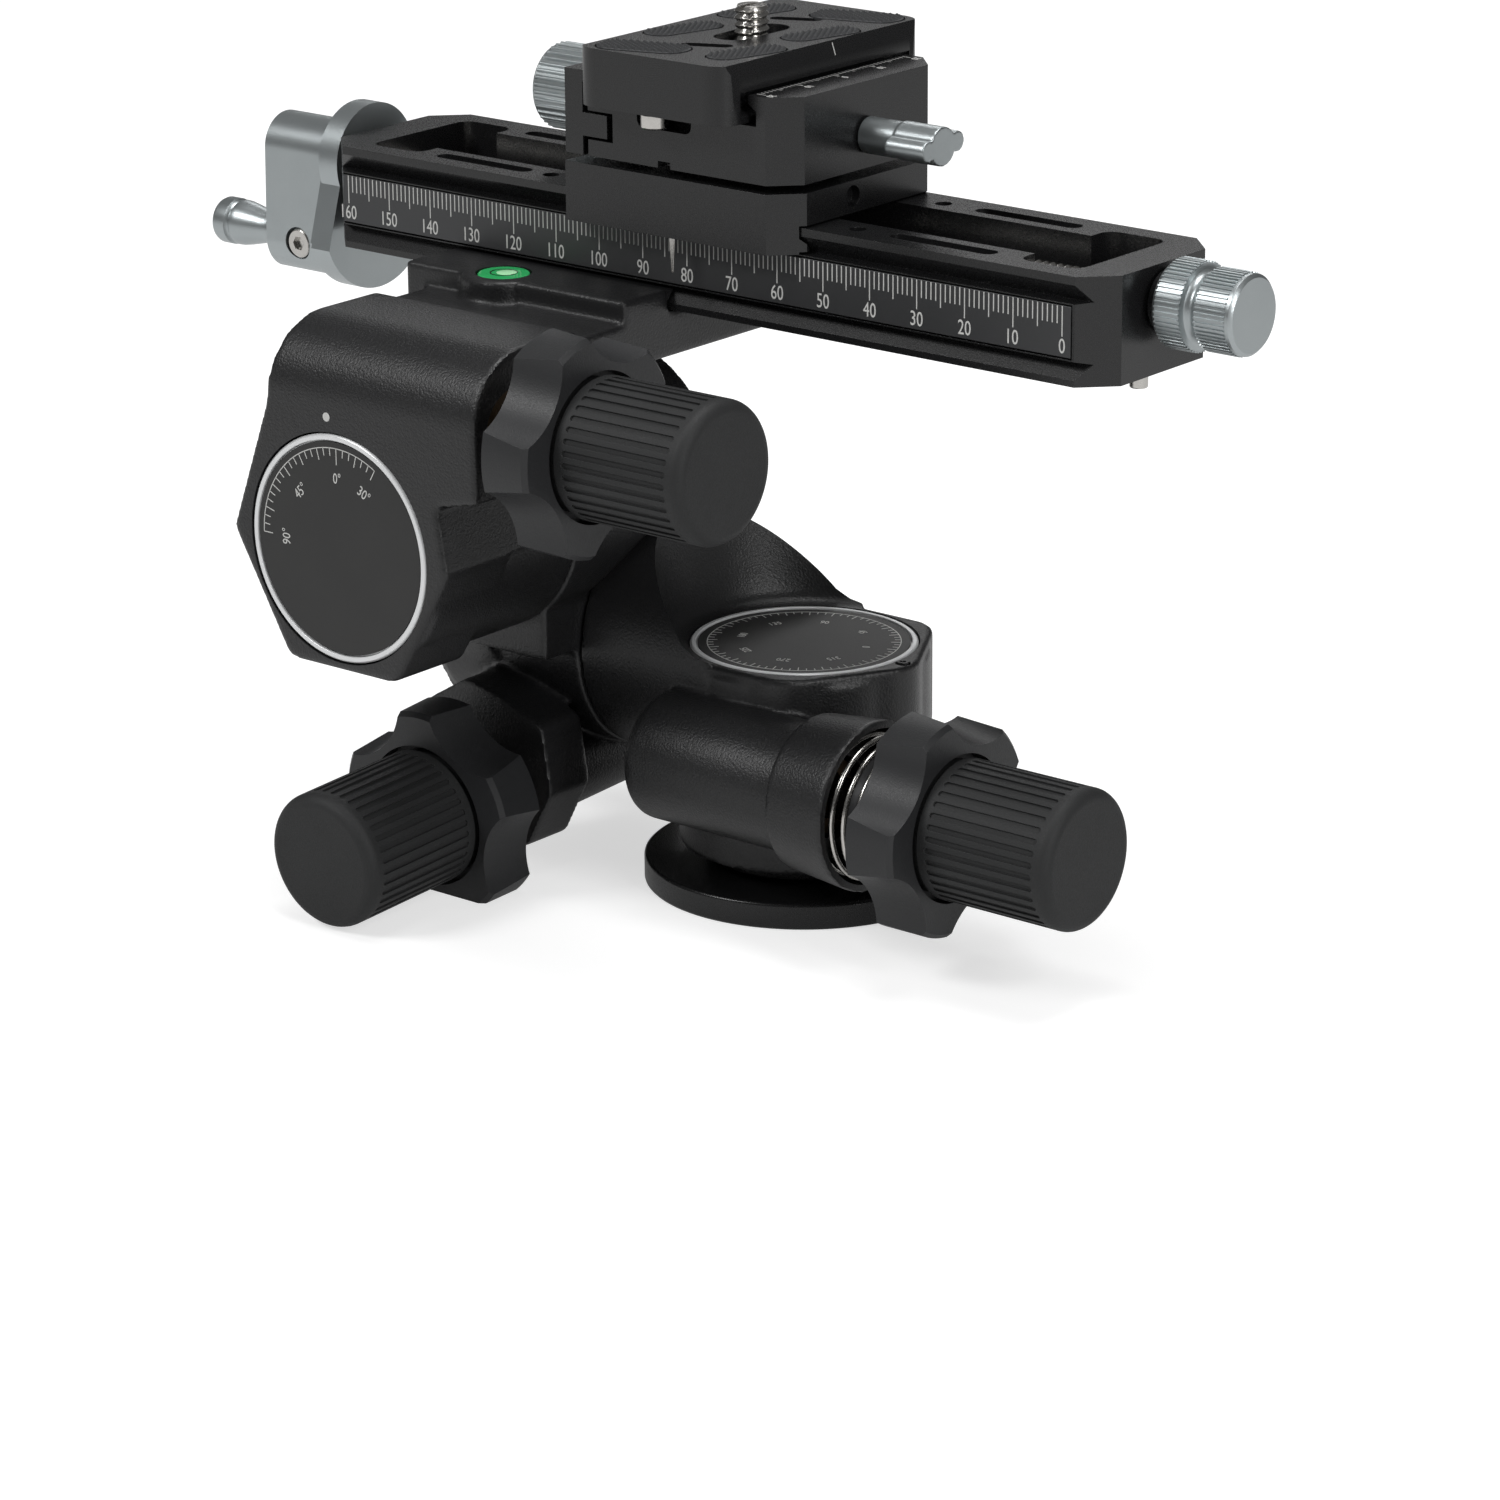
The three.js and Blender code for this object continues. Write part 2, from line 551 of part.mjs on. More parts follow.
// Rubber sleeve knob with cut grip slots and a rounded closed end.
function addKnob(name, frame) {
  const r = drive.knobRadius;
  const low = r - drive.ribDepth;
  const end = drive.knobEnd;
  const core = turned([
    [0, drive.knobStart], [low, drive.knobStart], [low, drive.collarEnd], [r, drive.collarEnd],
    [r, end - drive.knobRound], [r - drive.knobRound, end], [0, end],
  ], drive.ribCount);
  const half = (drive.ribShare * TURN * r) / drive.ribCount / 2;
  const wedge = outlineOf([[low, 0], [r + drive.ribDepth, -half * 2], [r + drive.ribDepth, half * 2]]);
  const slots = Array.from({ length: drive.ribCount }, (_, i) => prism(
    wedge, drive.ribStart, drive.ribEnd, new THREE.Matrix4().makeRotationZ((i / drive.ribCount) * TURN),
  ));
  const hollow = rod(
    drive.knobCoreRadius + gap, drive.knobStart - cutMargin, drive.knobCoreEnd + gap, null, hiddenSteps,
  );
  addPiece(name, cutAll(core, [...slots, hollow]), rubber, frame);
}

// Five-lobed release collar; the scallops lean so that they open towards the knob.
function addCollar(name, frame, phase, hubRadius) {
  const r = drive.collarRadius;
  const start = drive.collarStart;
  const end = drive.collarEnd;
  const body = turned([
    [0, start - drive.collarHubLength], [hubRadius, start - drive.collarHubLength], [hubRadius, start],
    [r, start], [r, end - drive.collarChamfer],
    [r - drive.collarChamfer, end], [0, end],
  ], roundSteps);
  const cutters = [];
  const lean = Math.atan((drive.scallopFrontDepth - drive.scallopBackDepth) / (end - start));
  const step = TURN / drive.collarLobes;
  for (let i = 0; i < drive.collarLobes; i += 1) {
    const turnFrame = new THREE.Matrix4().makeRotationZ(radians(phase) + (i + 0.5) * step);
    const reach = r + drive.scallopRadius - drive.scallopBackDepth;
    const local = shift(reach, 0, start).multiply(new THREE.Matrix4().makeRotationY(-lean));
    const place = turnFrame.multiply(local);
    cutters.push(rod(drive.scallopRadius, -cutMargin, end - start + cutMargin, place, fineSteps - 4));
  }
  cutters.push(rod(drive.collarBore, -cutMargin + start - drive.collarHubLength, end, null, smallSteps));
  cutters.push(
    rod(drive.collarRecessRadius, end - drive.collarRecessDepth, end + cutMargin, null, roundSteps),
  );
  addPiece(name, cutAll(body, cutters), collarBlack, frame);
}

function addSpring(name, frame, kind) {
  const steps = kind.curls * spring.stepsPerCurl + 2;
  const path = new CoilPath(kind.coil, kind.start, kind.end, kind.curls, steps, spring.wireRadius * 2);
  const section = outlineOf(polygon(spring.sides, spring.wireRadius, 0));
  const geometry = new THREE.ExtrudeGeometry(section, { steps, extrudePath: path, bevelEnabled: false });
  reportCoilGap(name, path, steps);
  addPiece(name, solid(geometry), steel, frame);
}

// Free distance between neighbouring curls, measured on points along the wire.
function reportCoilGap(name, path, steps) {
  const spots = path.getSpacedPoints(steps * 4);
  const perCurl = (spring.stepsPerCurl * 4) / 2;
  let least = Infinity;
  for (let i = 0; i < spots.length; i += 1) {
    for (let j = i + perCurl; j < spots.length; j += 1) {
      least = Math.min(least, spots[i].distanceTo(spots[j]));
    }
  }
  console.log(`${name} least gap between curls ${(least - spring.wireRadius * 2).toFixed(2)} mm`);
}

// Base: disc on the tripod, thread bush, spindle with its flange.
function addBase() {
  const c = base.chamfer;
  const disc = turned([
    [base.boreRadius, 0], [base.radius - c, 0], [base.radius, c], [base.radius, base.thickness - c],
    [base.radius - c, base.thickness], [base.boreRadius, base.thickness], [base.boreRadius, 0],
  ], fineSteps);
  addPiece("base_disc", disc, anodised);

  addPiece("base_thread_bush", tube(bush.radius, bush.bore, gap, bush.height, null, smallSteps + 2), steel);
}

const panFloorTop = -(pan.dialTop - pan.footHeight - pan.flangeRoom) + stage.floorThickness;

function addPanStage() {
  const flangeLow = base.thickness + gap;
  const flangeTop = flangeLow + pan.spindleFlangeThickness;
  const lift = pan.dialTop;
  const spindle = shaftBody(panStage, flangeLow - lift);
  const flange = rod(pan.spindleFlangeRadius, flangeLow, flangeTop, null, fineSteps);
  const socket = rod(bush.radius + gap, flangeLow - cutMargin, bush.height + gap, null, smallSteps + 2);
  addPiece("pan_spindle", spindle.add(flange).subtract(socket), steel);
  addWheel("pan_wheel", panStage, panWheelDepth);
  addDial("pan", panStage);
  addBearing("pan_bearing", panStage, stage.bearingDepth);

  const outer = joinAll([stageShell(panStage, pan.dialTop - pan.footHeight), panArm(), panBarrel()]);
  const throat = rod(
    wide.throat, drive.barrelEnd - drive.throatDepth, drive.barrelEnd + cutMargin, panDrive,
  );
  const cutters = [...stageCutters(panStage, panFloorTop), wormTunnel(panDrive, pan.tunnelStart), throat];
  const skirt = rod(
    stage.jointRadius - pan.footWall, pan.footHeight - cutMargin, pan.footHeight + pan.flangeRoom,
    null, fineSteps,
  );
  const grip = rod(
    stage.shaftRadius + gap, tilt.armStart - cutMargin, tilt.armStart + stage.shaftGrip,
    tiltAxisFrame(),
  );
  const index = rod(
    pan.indexRadius + gap, pan.dialTop - pan.indexLength - gap, pan.dialTop + cutMargin,
    shift(pan.indexReach, 0, 0), smallSteps,
  );
  addPiece("pan_housing", cutAll(outer, [...cutters, skirt, grip, index]), castBlack);

  const screwFrame = shift(pan.indexReach, 0, 0);
  const screw = rod(
    pan.indexRadius, pan.dialTop - pan.indexLength, pan.dialTop + gap, screwFrame, smallSteps,
  );
  const socketCut = prism(
    outlineOf(polygon(6, pan.indexSocket, 0)), pan.dialTop - pan.indexSocket,
    pan.dialTop + cutMargin, screwFrame,
  );
  addPiece("pan_index_screw", screw.subtract(socketCut), steel);
  addDrive(
    "pan", panDrive, { start: pan.tunnelStart, middle: 0, facing: pan.wormFacing }, wide,
    pan.collarPhase,
  );
}

function addDrive(prefix, frame, worm, kind, phase) {
  const inner = drive.shaftRadius + gap;
  const bushEnd = kind.bushStart + drive.bushWidth;
  addPiece(
    `${prefix}_worm_bush`,
    tube(drive.bushRadius, inner, kind.bushStart, bushEnd, frame, smallSteps + 3), bronze,
  );
  addSpring(`${prefix}_spring`, frame, kind);
  addWorm(`${prefix}_worm`, frame, worm.start, worm.middle, radians(worm.facing));
  addKnob(`${prefix}_knob`, frame);
  addCollar(`${prefix}_collar`, frame, phase, kind.hub);
}

// Local z runs along world X at the height of the tilting axis.
function tiltAxisFrame() {
  return frameOf(new THREE.Vector3(0, 0, tilt.axisHeight), AXIS_Y, AXIS_Z);
}

// The arm is a round boss on the tilting axis, hollowed where it passes the dial.
function panArm() {
  const boss = rod(stage.jointRadius, tilt.armStart, tilt.armReach, tiltAxisFrame(), fineSteps);
  const clearance = rod(
    tilt.armClearance, pan.dialTop, pan.dialTop + stage.jointRadius * 2, null, fineSteps,
  );
  return boss.subtract(clearance);
}

function panBarrel() {
  const r = pan.barrelRadius;
  const narrow = turned([
    [0, pan.barrelStart], [r - pan.barrelRound, pan.barrelStart], [r, pan.barrelStart + pan.barrelRound],
    [r, pan.barrelSeam], [pan.barrelWideRadius, pan.barrelSeam + gap],
    [pan.barrelEndRadius, drive.barrelEnd],
    [0, drive.barrelEnd],
  ], roundSteps, panDrive);
  return narrow;
}

// The tilting stage turns about world X and carries the arm of the rolling stage.
const tiltJointDepth = tilt.armStart - jointGap - tilt.dialEnd;
const tiltFloorTop = -tiltJointDepth + stage.floorThickness;
const tiltMiddle = tilt.wormShift * Math.hypot(1, tilt.wormSlope) - gear.axisDistance * tilt.wormSlope;

function elbowBox() {
  const [x, z] = [tilt.wormPlane, tilt.axisHeight - gear.axisDistance];
  const corners = tilt.boxOutline.map(([a, b]) => [x + a, z + b]);
  const frame = at(alongMinusY, 0, 0, 0);
  return prism(roundedOutline(corners, tilt.boxRound), tilt.boxStart, tilt.boxEnd, frame, 3);
}

function elbowTube() {
  const r = tilt.tubeRadius;
  return turned([
    [0, tilt.tubeEnd], [r - tilt.tubeRound, tilt.tubeEnd], [r, tilt.tubeEnd + tilt.tubeRound],
    [r, tilt.wormShift + tilt.boxStart + cutMargin], [0, tilt.wormShift + tilt.boxStart + cutMargin],
  ], roundSteps, tiltDrive);
}

// Round arm along Y for the rolling stage, with a web down to the tilting stage.
function rollArm() {
  const frame = at(alongMinusY, roll.axisX, 0, roll.axisHeight);
  const boss = rod(stage.jointRadius, -roll.armBack, roll.armFront, frame, fineSteps);
  const web = box(
    roll.armWebLeft, roll.armWebRight, -roll.armFront, roll.armBack,
    tilt.axisHeight, roll.axisHeight,
  );
  return boss.add(web);
}

function addTiltStage() {
  const wheelFrame = tiltStage.clone();
  wheelFrame.multiply(new THREE.Matrix4().makeRotationZ(-Math.atan(tilt.wormSlope)));
  const bottom = tilt.dialEnd - tilt.armStart - stage.shaftGrip + gap;
  addPiece("tilt_shaft", shaftBody(tiltStage, bottom), steel);
  addWheel("tilt_wheel", wheelFrame, tiltWheelDepth);
  addDial("tilt", tiltStage);
  addBearing("tilt_bearing", tiltStage, stage.bearingDepth);

  const room = rod(
    stage.jointRadius + jointGap, tilt.armStart - jointGap, tilt.armReach, tiltAxisFrame(), fineSteps,
  );
  const arm = rollArm().subtract(room);
  const outer = joinAll([stageShell(tiltStage, tiltJointDepth), elbowBox(), elbowTube(), arm]);
  const grip = rod(
    stage.shaftRadius + gap, roll.armFront - stage.shaftGrip, roll.armFront + cutMargin,
    at(alongMinusY, roll.axisX, 0, roll.axisHeight),
  );
  const cutters = [...stageCutters(tiltStage, tiltFloorTop), wormTunnel(tiltDrive, tilt.tunnelStart), grip];
  addPiece("elbow_housing", cutAll(outer, cutters), castBlack);
  const worm = { start: tilt.tunnelStart, middle: tiltMiddle, facing: tilt.wormFacing };
  addDrive("tilt", tiltDrive, worm, slim, tilt.collarPhase);
}

// The rolling stage: hexagon, worm block with a round shoulder, and the deck behind it.
const rollJointDepth = -roll.faceY - roll.armFront - jointGap;
const rollFloorTop = -rollJointDepth + stage.floorThickness;

function rollBlock() {
  const front = prism(outlineOf(roll.blockOutline), -roll.blockBack, -roll.faceY, alongMinusY);
  const shoulder = rod(
    roll.shoulderRadius, roll.blockOutline[0][0], roll.blockRight,
    at(alongX, 0, roll.shoulderY, roll.shoulderZ),
    fineSteps,
  );
  const low = box(roll.blockOutline[0][0], roll.blockRight, roll.faceY, roll.blockBack, 0, roll.shoulderZ);
  const back = box(
    roll.blockOutline[0][0], roll.blockRight, roll.shoulderY, roll.blockBack, 0, roll.blockTop,
  );
  return front.intersect(joinAll([shoulder, low, back]));
}

function deckBody() {
  const slab = box(deck.left, deck.right, deck.front, deck.back, deck.bottom, deck.top);
  const neck = box(
    deck.neckLeft, deck.right, roll.blockBack - cutMargin, deck.front + cutMargin, deck.bottom, deck.top,
  );
  const bar = box(deck.left, deck.right, deck.front, deck.jawInner, deck.top - cutMargin, deck.jawTop);
  const lip = prism(outlineOf([
    [deck.jawInner - cutMargin, deck.lipLow], [deck.jawInner, deck.lipLow],
    [deck.jawInner + deck.lipReach, deck.lipTip], [deck.jawInner + deck.lipReach, deck.lipHigh],
    [deck.jawInner - cutMargin, deck.lipHigh],
  ]), deck.left, deck.right, alongX);
  const boss = rod(
    deck.vialBossRadius, deck.vialBossLow, deck.jawTop, shift(deck.vialX, deck.vialY, 0),
  );
  const behind = box(
    deck.vialX - deck.vialBossRadius, deck.vialX + deck.vialBossRadius, deck.jawInner,
    deck.jawInner + deck.vialBossRadius, deck.top, deck.jawTop + cutMargin,
  );
  return joinAll([slab, neck, bar, lip, boss.subtract(behind)]);
}

function addRollStage() {
  const shaftBottom = roll.faceY + roll.armFront - stage.shaftGrip + gap;
  addPiece("roll_shaft", shaftBody(rollStage, shaftBottom), steel);
  addWheel("roll_wheel", rollStage, rollWheelDepth);
  addDial("roll", rollStage);
  addBearing("roll_bearing", rollStage, stage.rollBearingDepth);

  const room = rod(
    stage.jointRadius + jointGap, -roll.armBack - cutMargin, roll.armFront + jointGap,
    at(alongMinusY, roll.axisX, 0, 0), fineSteps,
  );
  const shell = stageShell(rollFace, rollJointDepth);
  const outer = joinAll([shell, rollBlock(), deckBody().subtract(room)]);
  const vialHole = rod(
    deck.vialRadius + gap, deck.jawTop - deck.vialDepth, deck.jawTop + cutMargin,
    shift(deck.vialX, deck.vialY, 0), smallSteps + 2,
  );
  const screwHole = rod(
    deck.jawScrewRadius + gap, deck.back - deck.jawScrewHole, deck.back + cutMargin,
    at(alongMinusY, 0, 0, 0).multiply(
      shift(deck.jawScrewX, deck.jawScrewHeight, -deck.back * 2 + deck.jawScrewHole),
    ),
    smallSteps + 2,
  );
  const guides = guidePins(gap);
  const cutters = [...stageCutters(rollFace, rollFloorTop), wormTunnel(rollWormLine, roll.tunnelStart)];
  cutters.push(vialHole, screwHole, ...guides);
  addUpper("roll_housing", cutAll(outer, cutters), castBlack);
  addUpper("level_vial", rod(
    deck.vialRadius, deck.jawTop - deck.vialDepth + gap, deck.jawTop, shift(deck.vialX, deck.vialY, 0),
    smallSteps + 2,
  ), vialGreen);
  const worm = { start: roll.tunnelStart, middle: rollMiddle, facing: roll.wormFacing };
  addDrive("roll", rollDrive, worm, slim, roll.collarPhase);
}

// Two guide pins of the rear jaw, along Y; grown by the play for their holes.
function guidePins(play) {
  const start = deck.back - deck.guidePinDepth - play;
  const end = deck.back + cutMargin;
  return [-1, 1].map((side) => rod(
    deck.guidePinRadius + play, -end, -start,
    at(alongMinusY, deck.jawScrewX + side * deck.guidePinSpread, 0, deck.jawScrewHeight), smallSteps,
  ));
}

// Rear jaw: closes on the rail from behind, drawn in by its screw knob.
function addRearJaw() {
  const inner = -deck.jawInner;
  const frame = alongX;
  const outline = outlineOf([
    [deck.back + jointGap, deck.rearJawLow], [deck.rearJawBack, deck.rearJawLow],
    [deck.rearJawBack, deck.jawTop - deck.rearJawChamfer],
    [deck.rearJawBack - deck.rearJawChamfer, deck.jawTop],
    [inner, deck.jawTop], [inner, deck.lipHigh], [inner - deck.lipReach, deck.lipHigh],
    [inner - deck.lipReach, deck.lipTip], [inner, deck.lipLow], [inner, deck.top + gap],
    [deck.back + jointGap, deck.top + gap],
  ]);
  const bar = prism(outline, deck.rearJawLeft, deck.rearJawRight, frame);
  const hole = rod(
    deck.jawScrewRadius + gap, -deck.rearJawBack - cutMargin, -deck.back + cutMargin,
    at(alongMinusY, deck.jawScrewX, 0, deck.jawScrewHeight), smallSteps + 2,
  );
  const pins = guidePins(0);
  addUpper("rear_jaw", joinAll([bar, ...pins]).subtract(hole), castBlack);

  const screwFrame = at(alongMinusY, deck.jawScrewX, 0, deck.jawScrewHeight);
  const stem = rod(
    deck.jawScrewRadius, -deck.jawKnobStart - cutMargin, -deck.back + deck.jawScrewHole - gap, screwFrame,
    smallSteps + 2,
  );
  const grip = prism(
    notchedOutline(deck.jawKnobRadius, deck.jawKnobFluteDepth, deck.jawKnobFlutes, drive.ribShare),
    -deck.jawKnobEnd, -deck.jawKnobStart, screwFrame,
  );
  addUpper("rear_jaw_knob", stem.add(grip), anodised);
}

function vGroove(points, side) {
  const pairs = points.map(([depth, z]) => [side * (rail.halfWidth - depth), z]);
  return prism(outlineOf(pairs), rail.left - cutMargin, rail.right + cutMargin, alongX);
}

function addRail() {
  const [w, c] = [rail.halfWidth, rail.chamfer];
  const [l, r] = [rail.left, rail.right];
  const plan = outlineOf([
    [l + c, -w], [r - c, -w], [r, -w + c], [r, w - c], [r - c, w], [l + c, w], [l, w - c], [l, -w + c],
  ]);
  const body = prism(plan, rail.bottom, rail.top);
  const cutters = [];
  const out = -cutMargin;
  for (const side of [-1, 1]) {
    cutters.push(vGroove([
      [out, rail.topLip], [0, rail.topLip], [rail.grooveDepth, rail.topGroove], [0, rail.faceTop],
      [out, rail.faceTop],
    ], side));
    cutters.push(vGroove([
      [out, rail.faceBottom], [0, rail.faceBottom], [rail.grooveDepth, rail.lowGroove], [0, rail.lowLip],
      [out, rail.lowLip],
    ], side));
    for (const x of [rail.rightSlotX, rail.leftSlotX]) {
      cutters.push(prism(
        slotOutline(rail.slotLength / 2, rail.slotWidth / 2), rail.top - rail.slotDepth,
        rail.top + cutMargin,
        shift(x, side * rail.slotOffset, 0), 3,
      ));
    }
    for (const x of [rail.rightHoleX, rail.leftHoleX]) {
      cutters.push(rod(
        rail.holeRadius, rail.top - rail.holeDepth, rail.top + cutMargin,
        shift(x, side * rail.slotOffset, 0),
        smallSteps,
      ));
    }
  }
  const end = rail.top + cutMargin;
  cutters.push(box(
    rail.leftPocketStart, rail.rightPocketEnd, -rail.channelHalf, rail.channelHalf, rail.channelFloor, end,
  ));
  for (const [start, stop] of [
    [rail.rightPocketStart, rail.rightPocketEnd], [rail.leftPocketStart, rail.leftPocketEnd],
  ]) {
    const h = rail.pocketHalf;
    const outline = roundedOutline([[start, -h], [stop, -h], [stop, h], [start, h]], rail.pocketRound);
    cutters.push(prism(outline, rail.pocketFloor, end, null, 2));
  }
  const screwLine = at(alongX, 0, 0, rail.screwAxis);
  cutters.push(
    rod(
      lead.bushRadius + gap, rail.rightPocketEnd - cutMargin, rail.right + cutMargin, screwLine,
      smallSteps,
    ),
  );
  cutters.push(
    rod(
      lead.journalRadius + gap, rail.left - cutMargin, rail.leftPocketStart + cutMargin, screwLine,
      smallSteps,
    ),
  );
  const [scaleLow, scaleHigh] = [rail.faceBottom + scale.margin, rail.faceTop - scale.margin];
  cutters.push(box(
    scale.left - gap, scale.right + gap, -rail.halfWidth - cutMargin,
    -rail.halfWidth + scale.thickness + gap,
    scaleLow, scaleHigh,
  ));
  cutters.push(rod(
    rail.pinRadius + gap, rail.bottom - cutMargin, rail.bottom + rail.pinGrip + gap, shift(rail.pinX, 0, 0),
    smallSteps,
  ));
  addUpper("rail_body", cutAll(body, cutters), anodised);
  addUpper("scale_strip", box(
    scale.left, scale.right, -rail.halfWidth, -rail.halfWidth + scale.thickness, scaleLow + gap,
    scaleHigh - gap,
  ), scaleGrey);
  addUpper("rail_stop_pin", rod(
    rail.pinRadius, rail.bottom - rail.pinLength, rail.bottom + rail.pinGrip,
    shift(rail.pinX, 0, 0), smallSteps,
  ), steel);
  const right = [
    [lead.bushBore, rail.rightPocketEnd + gap], [lead.bushRadius, rail.rightPocketEnd + gap],
    [lead.bushRadius, rail.right + gap], [lead.bushFlangeRadius, rail.right + gap],
    [lead.bushFlangeRadius, rail.right + gap + lead.bushFlangeWidth],
    [lead.bushBore, rail.right + gap + lead.bushFlangeWidth], [lead.bushBore, rail.rightPocketEnd + gap],
  ];
  addUpper("lead_bush", turned(right, smallSteps, screwLine), silver);
}

// Lead screw with ring-shaped thread between its two journals.
function addLeadScrew() {
  const line = at(alongX, 0, 0, rail.screwAxis);
  const start = rail.leftPocketStart + jointGap;
  const end = rail.rightPocketEnd - jointGap;
  const profile = [[0, lead.leftEnd], [lead.journalRadius, lead.leftEnd], [lead.journalRadius, start]];
  const pitch = (end - start) / lead.threadCount;
  for (let i = 0; i < lead.threadCount; i += 1) {
    const low = start + i * pitch;
    profile.push([lead.radius - lead.threadDepth, low], [lead.radius, low + pitch / 2]);
  }
  profile.push([lead.radius - lead.threadDepth, end], [lead.journalRadius, end]);
  profile.push([lead.journalRadius, lead.rightEnd], [0, lead.rightEnd]);
  addUpper("lead_screw", turned(profile, smallSteps - 2, line), steel);

  const { start: s, end: e, chamfer: c } = fine;
  const core = turned([
    [0, s], [fine.waistRadius, s], [fine.waistRadius, e], [0, e],
  ], smallSteps + 2, line);
  const bandOne = prism(
    notchedOutline(fine.radius, fine.fluteDepth, fine.fluteCount, fine.fluteShare), s + c,
    fine.waistStart, line,
  );
  const bandTwo = prism(
    notchedOutline(fine.endRadius, fine.fluteDepth, fine.fluteCount, fine.fluteShare),
    fine.waistEnd, e - c, line,
  );
  const hole = rod(lead.journalRadius + gap, s - cutMargin, lead.rightEnd + gap, line, smallSteps);
  addUpper("fine_knob", joinAll([core, bandOne, bandTwo]).subtract(hole), silver);
}

// Hull of two circles, one above the other, as a plan in local x (world Y) and y (world Z).
function dropOutline(topRadius, lowRadius, drop) {
  const lean = Math.asin((lowRadius - topRadius) / drop);
  const shape = new THREE.Shape();
  shape.absarc(0, 0, topRadius, -lean, Math.PI + lean, false);
  shape.absarc(0, -drop, lowRadius, Math.PI + lean, TURN - lean, false);
  shape.closePath();
  return shape;
}

function addCrank() {
  const line = at(alongX, 0, 0, rail.screwAxis);
  const c = crank.chamfer;
  const hole = rod(crank.bore, crank.armOuter - cutMargin, rail.left, line, smallSteps);
  const plateSolid = joinAll([
    prism(
      dropOutline(crank.topRadius, crank.lowRadius, crank.lowDrop), crank.plateOuter + c,
      crank.plateInner, line, 6,
    ),
    prism(
      dropOutline(crank.topRadius - c, crank.lowRadius - c, crank.lowDrop), crank.plateOuter,
      crank.plateInner, line, 6,
    ),
  ]);
  const arm = prism(
    dropOutline(crank.armTopRadius, crank.armLowRadius, crank.armLowDrop), crank.armOuter,
    crank.plateOuter + cutMargin,
    line, 5,
  );
  const low = -crank.armLowDrop;
  const fork = box(
    -crank.forkWidth / 2, crank.forkWidth / 2, low - crank.lowRadius, low + crank.forkRise,
    crank.armOuter - cutMargin, crank.armOuter + crank.forkDepth, line,
  );
  const pivotFrame = at(alongMinusY, crank.pivotX, 0, rail.screwAxis + low);
  const cheek = crank.armLowRadius;
  const pivotHole = rod(
    crank.pivotRadius + gap, -cheek - cutMargin, cheek + cutMargin, pivotFrame, smallSteps,
  );
  const headHole = rod(
    crank.pivotHeadRadius + gap, cheek - crank.pivotHeadDepth - crank.pivotSink - gap,
    cheek + cutMargin, pivotFrame,
    smallSteps,
  );
  addUpper("crank", cutAll(plateSolid.add(arm), [hole, fork, pivotHole, headHole]), silver);

  const pivotTop = cheek - crank.pivotSink;
  addUpper("crank_pivot", turned([
    [0, -cheek + crank.pivotSink], [crank.pivotRadius, -cheek + crank.pivotSink],
    [crank.pivotRadius, pivotTop - crank.pivotHeadDepth],
    [crank.pivotHeadRadius, pivotTop - crank.pivotHeadDepth],
    [crank.pivotHeadRadius, pivotTop], [0, pivotTop],
  ], smallSteps, pivotFrame), steel);

  const handleLine = at(alongX, 0, 0, rail.screwAxis + low);
  const r = crank.handleRadius;
  const g = crank.grooveDepth;
  const grip = turned([
    [0, crank.handleEnd], [r - crank.handleRound, crank.handleEnd],
    [r, crank.handleEnd + crank.handleRound],
    [r, crank.grooveX - g], [r - g, crank.grooveX], [r, crank.grooveX + g], [r, crank.neckEnd],
    [crank.neckRadius, crank.neckEnd + g], [crank.neckRadius, crank.neckStart], [0, crank.neckStart],
  ], smallSteps + 2, handleLine);
  const half = crank.forkWidth / 2 - gap;
  const tongue = box(
    -half, half, -crank.tongueHalf, crank.tongueHalf, crank.neckStart - cutMargin / 2, crank.pivotX,
    handleLine,
  );
  const eye = rod(crank.tongueHalf, -half, half, pivotFrame, smallSteps + 2);
  const eyeHole = rod(crank.pivotRadius + gap, -half - cutMargin, half + cutMargin, pivotFrame, smallSteps);
  addUpper("crank_handle", joinAll([grip, tongue, eye]).subtract(eyeHole), silver);
}

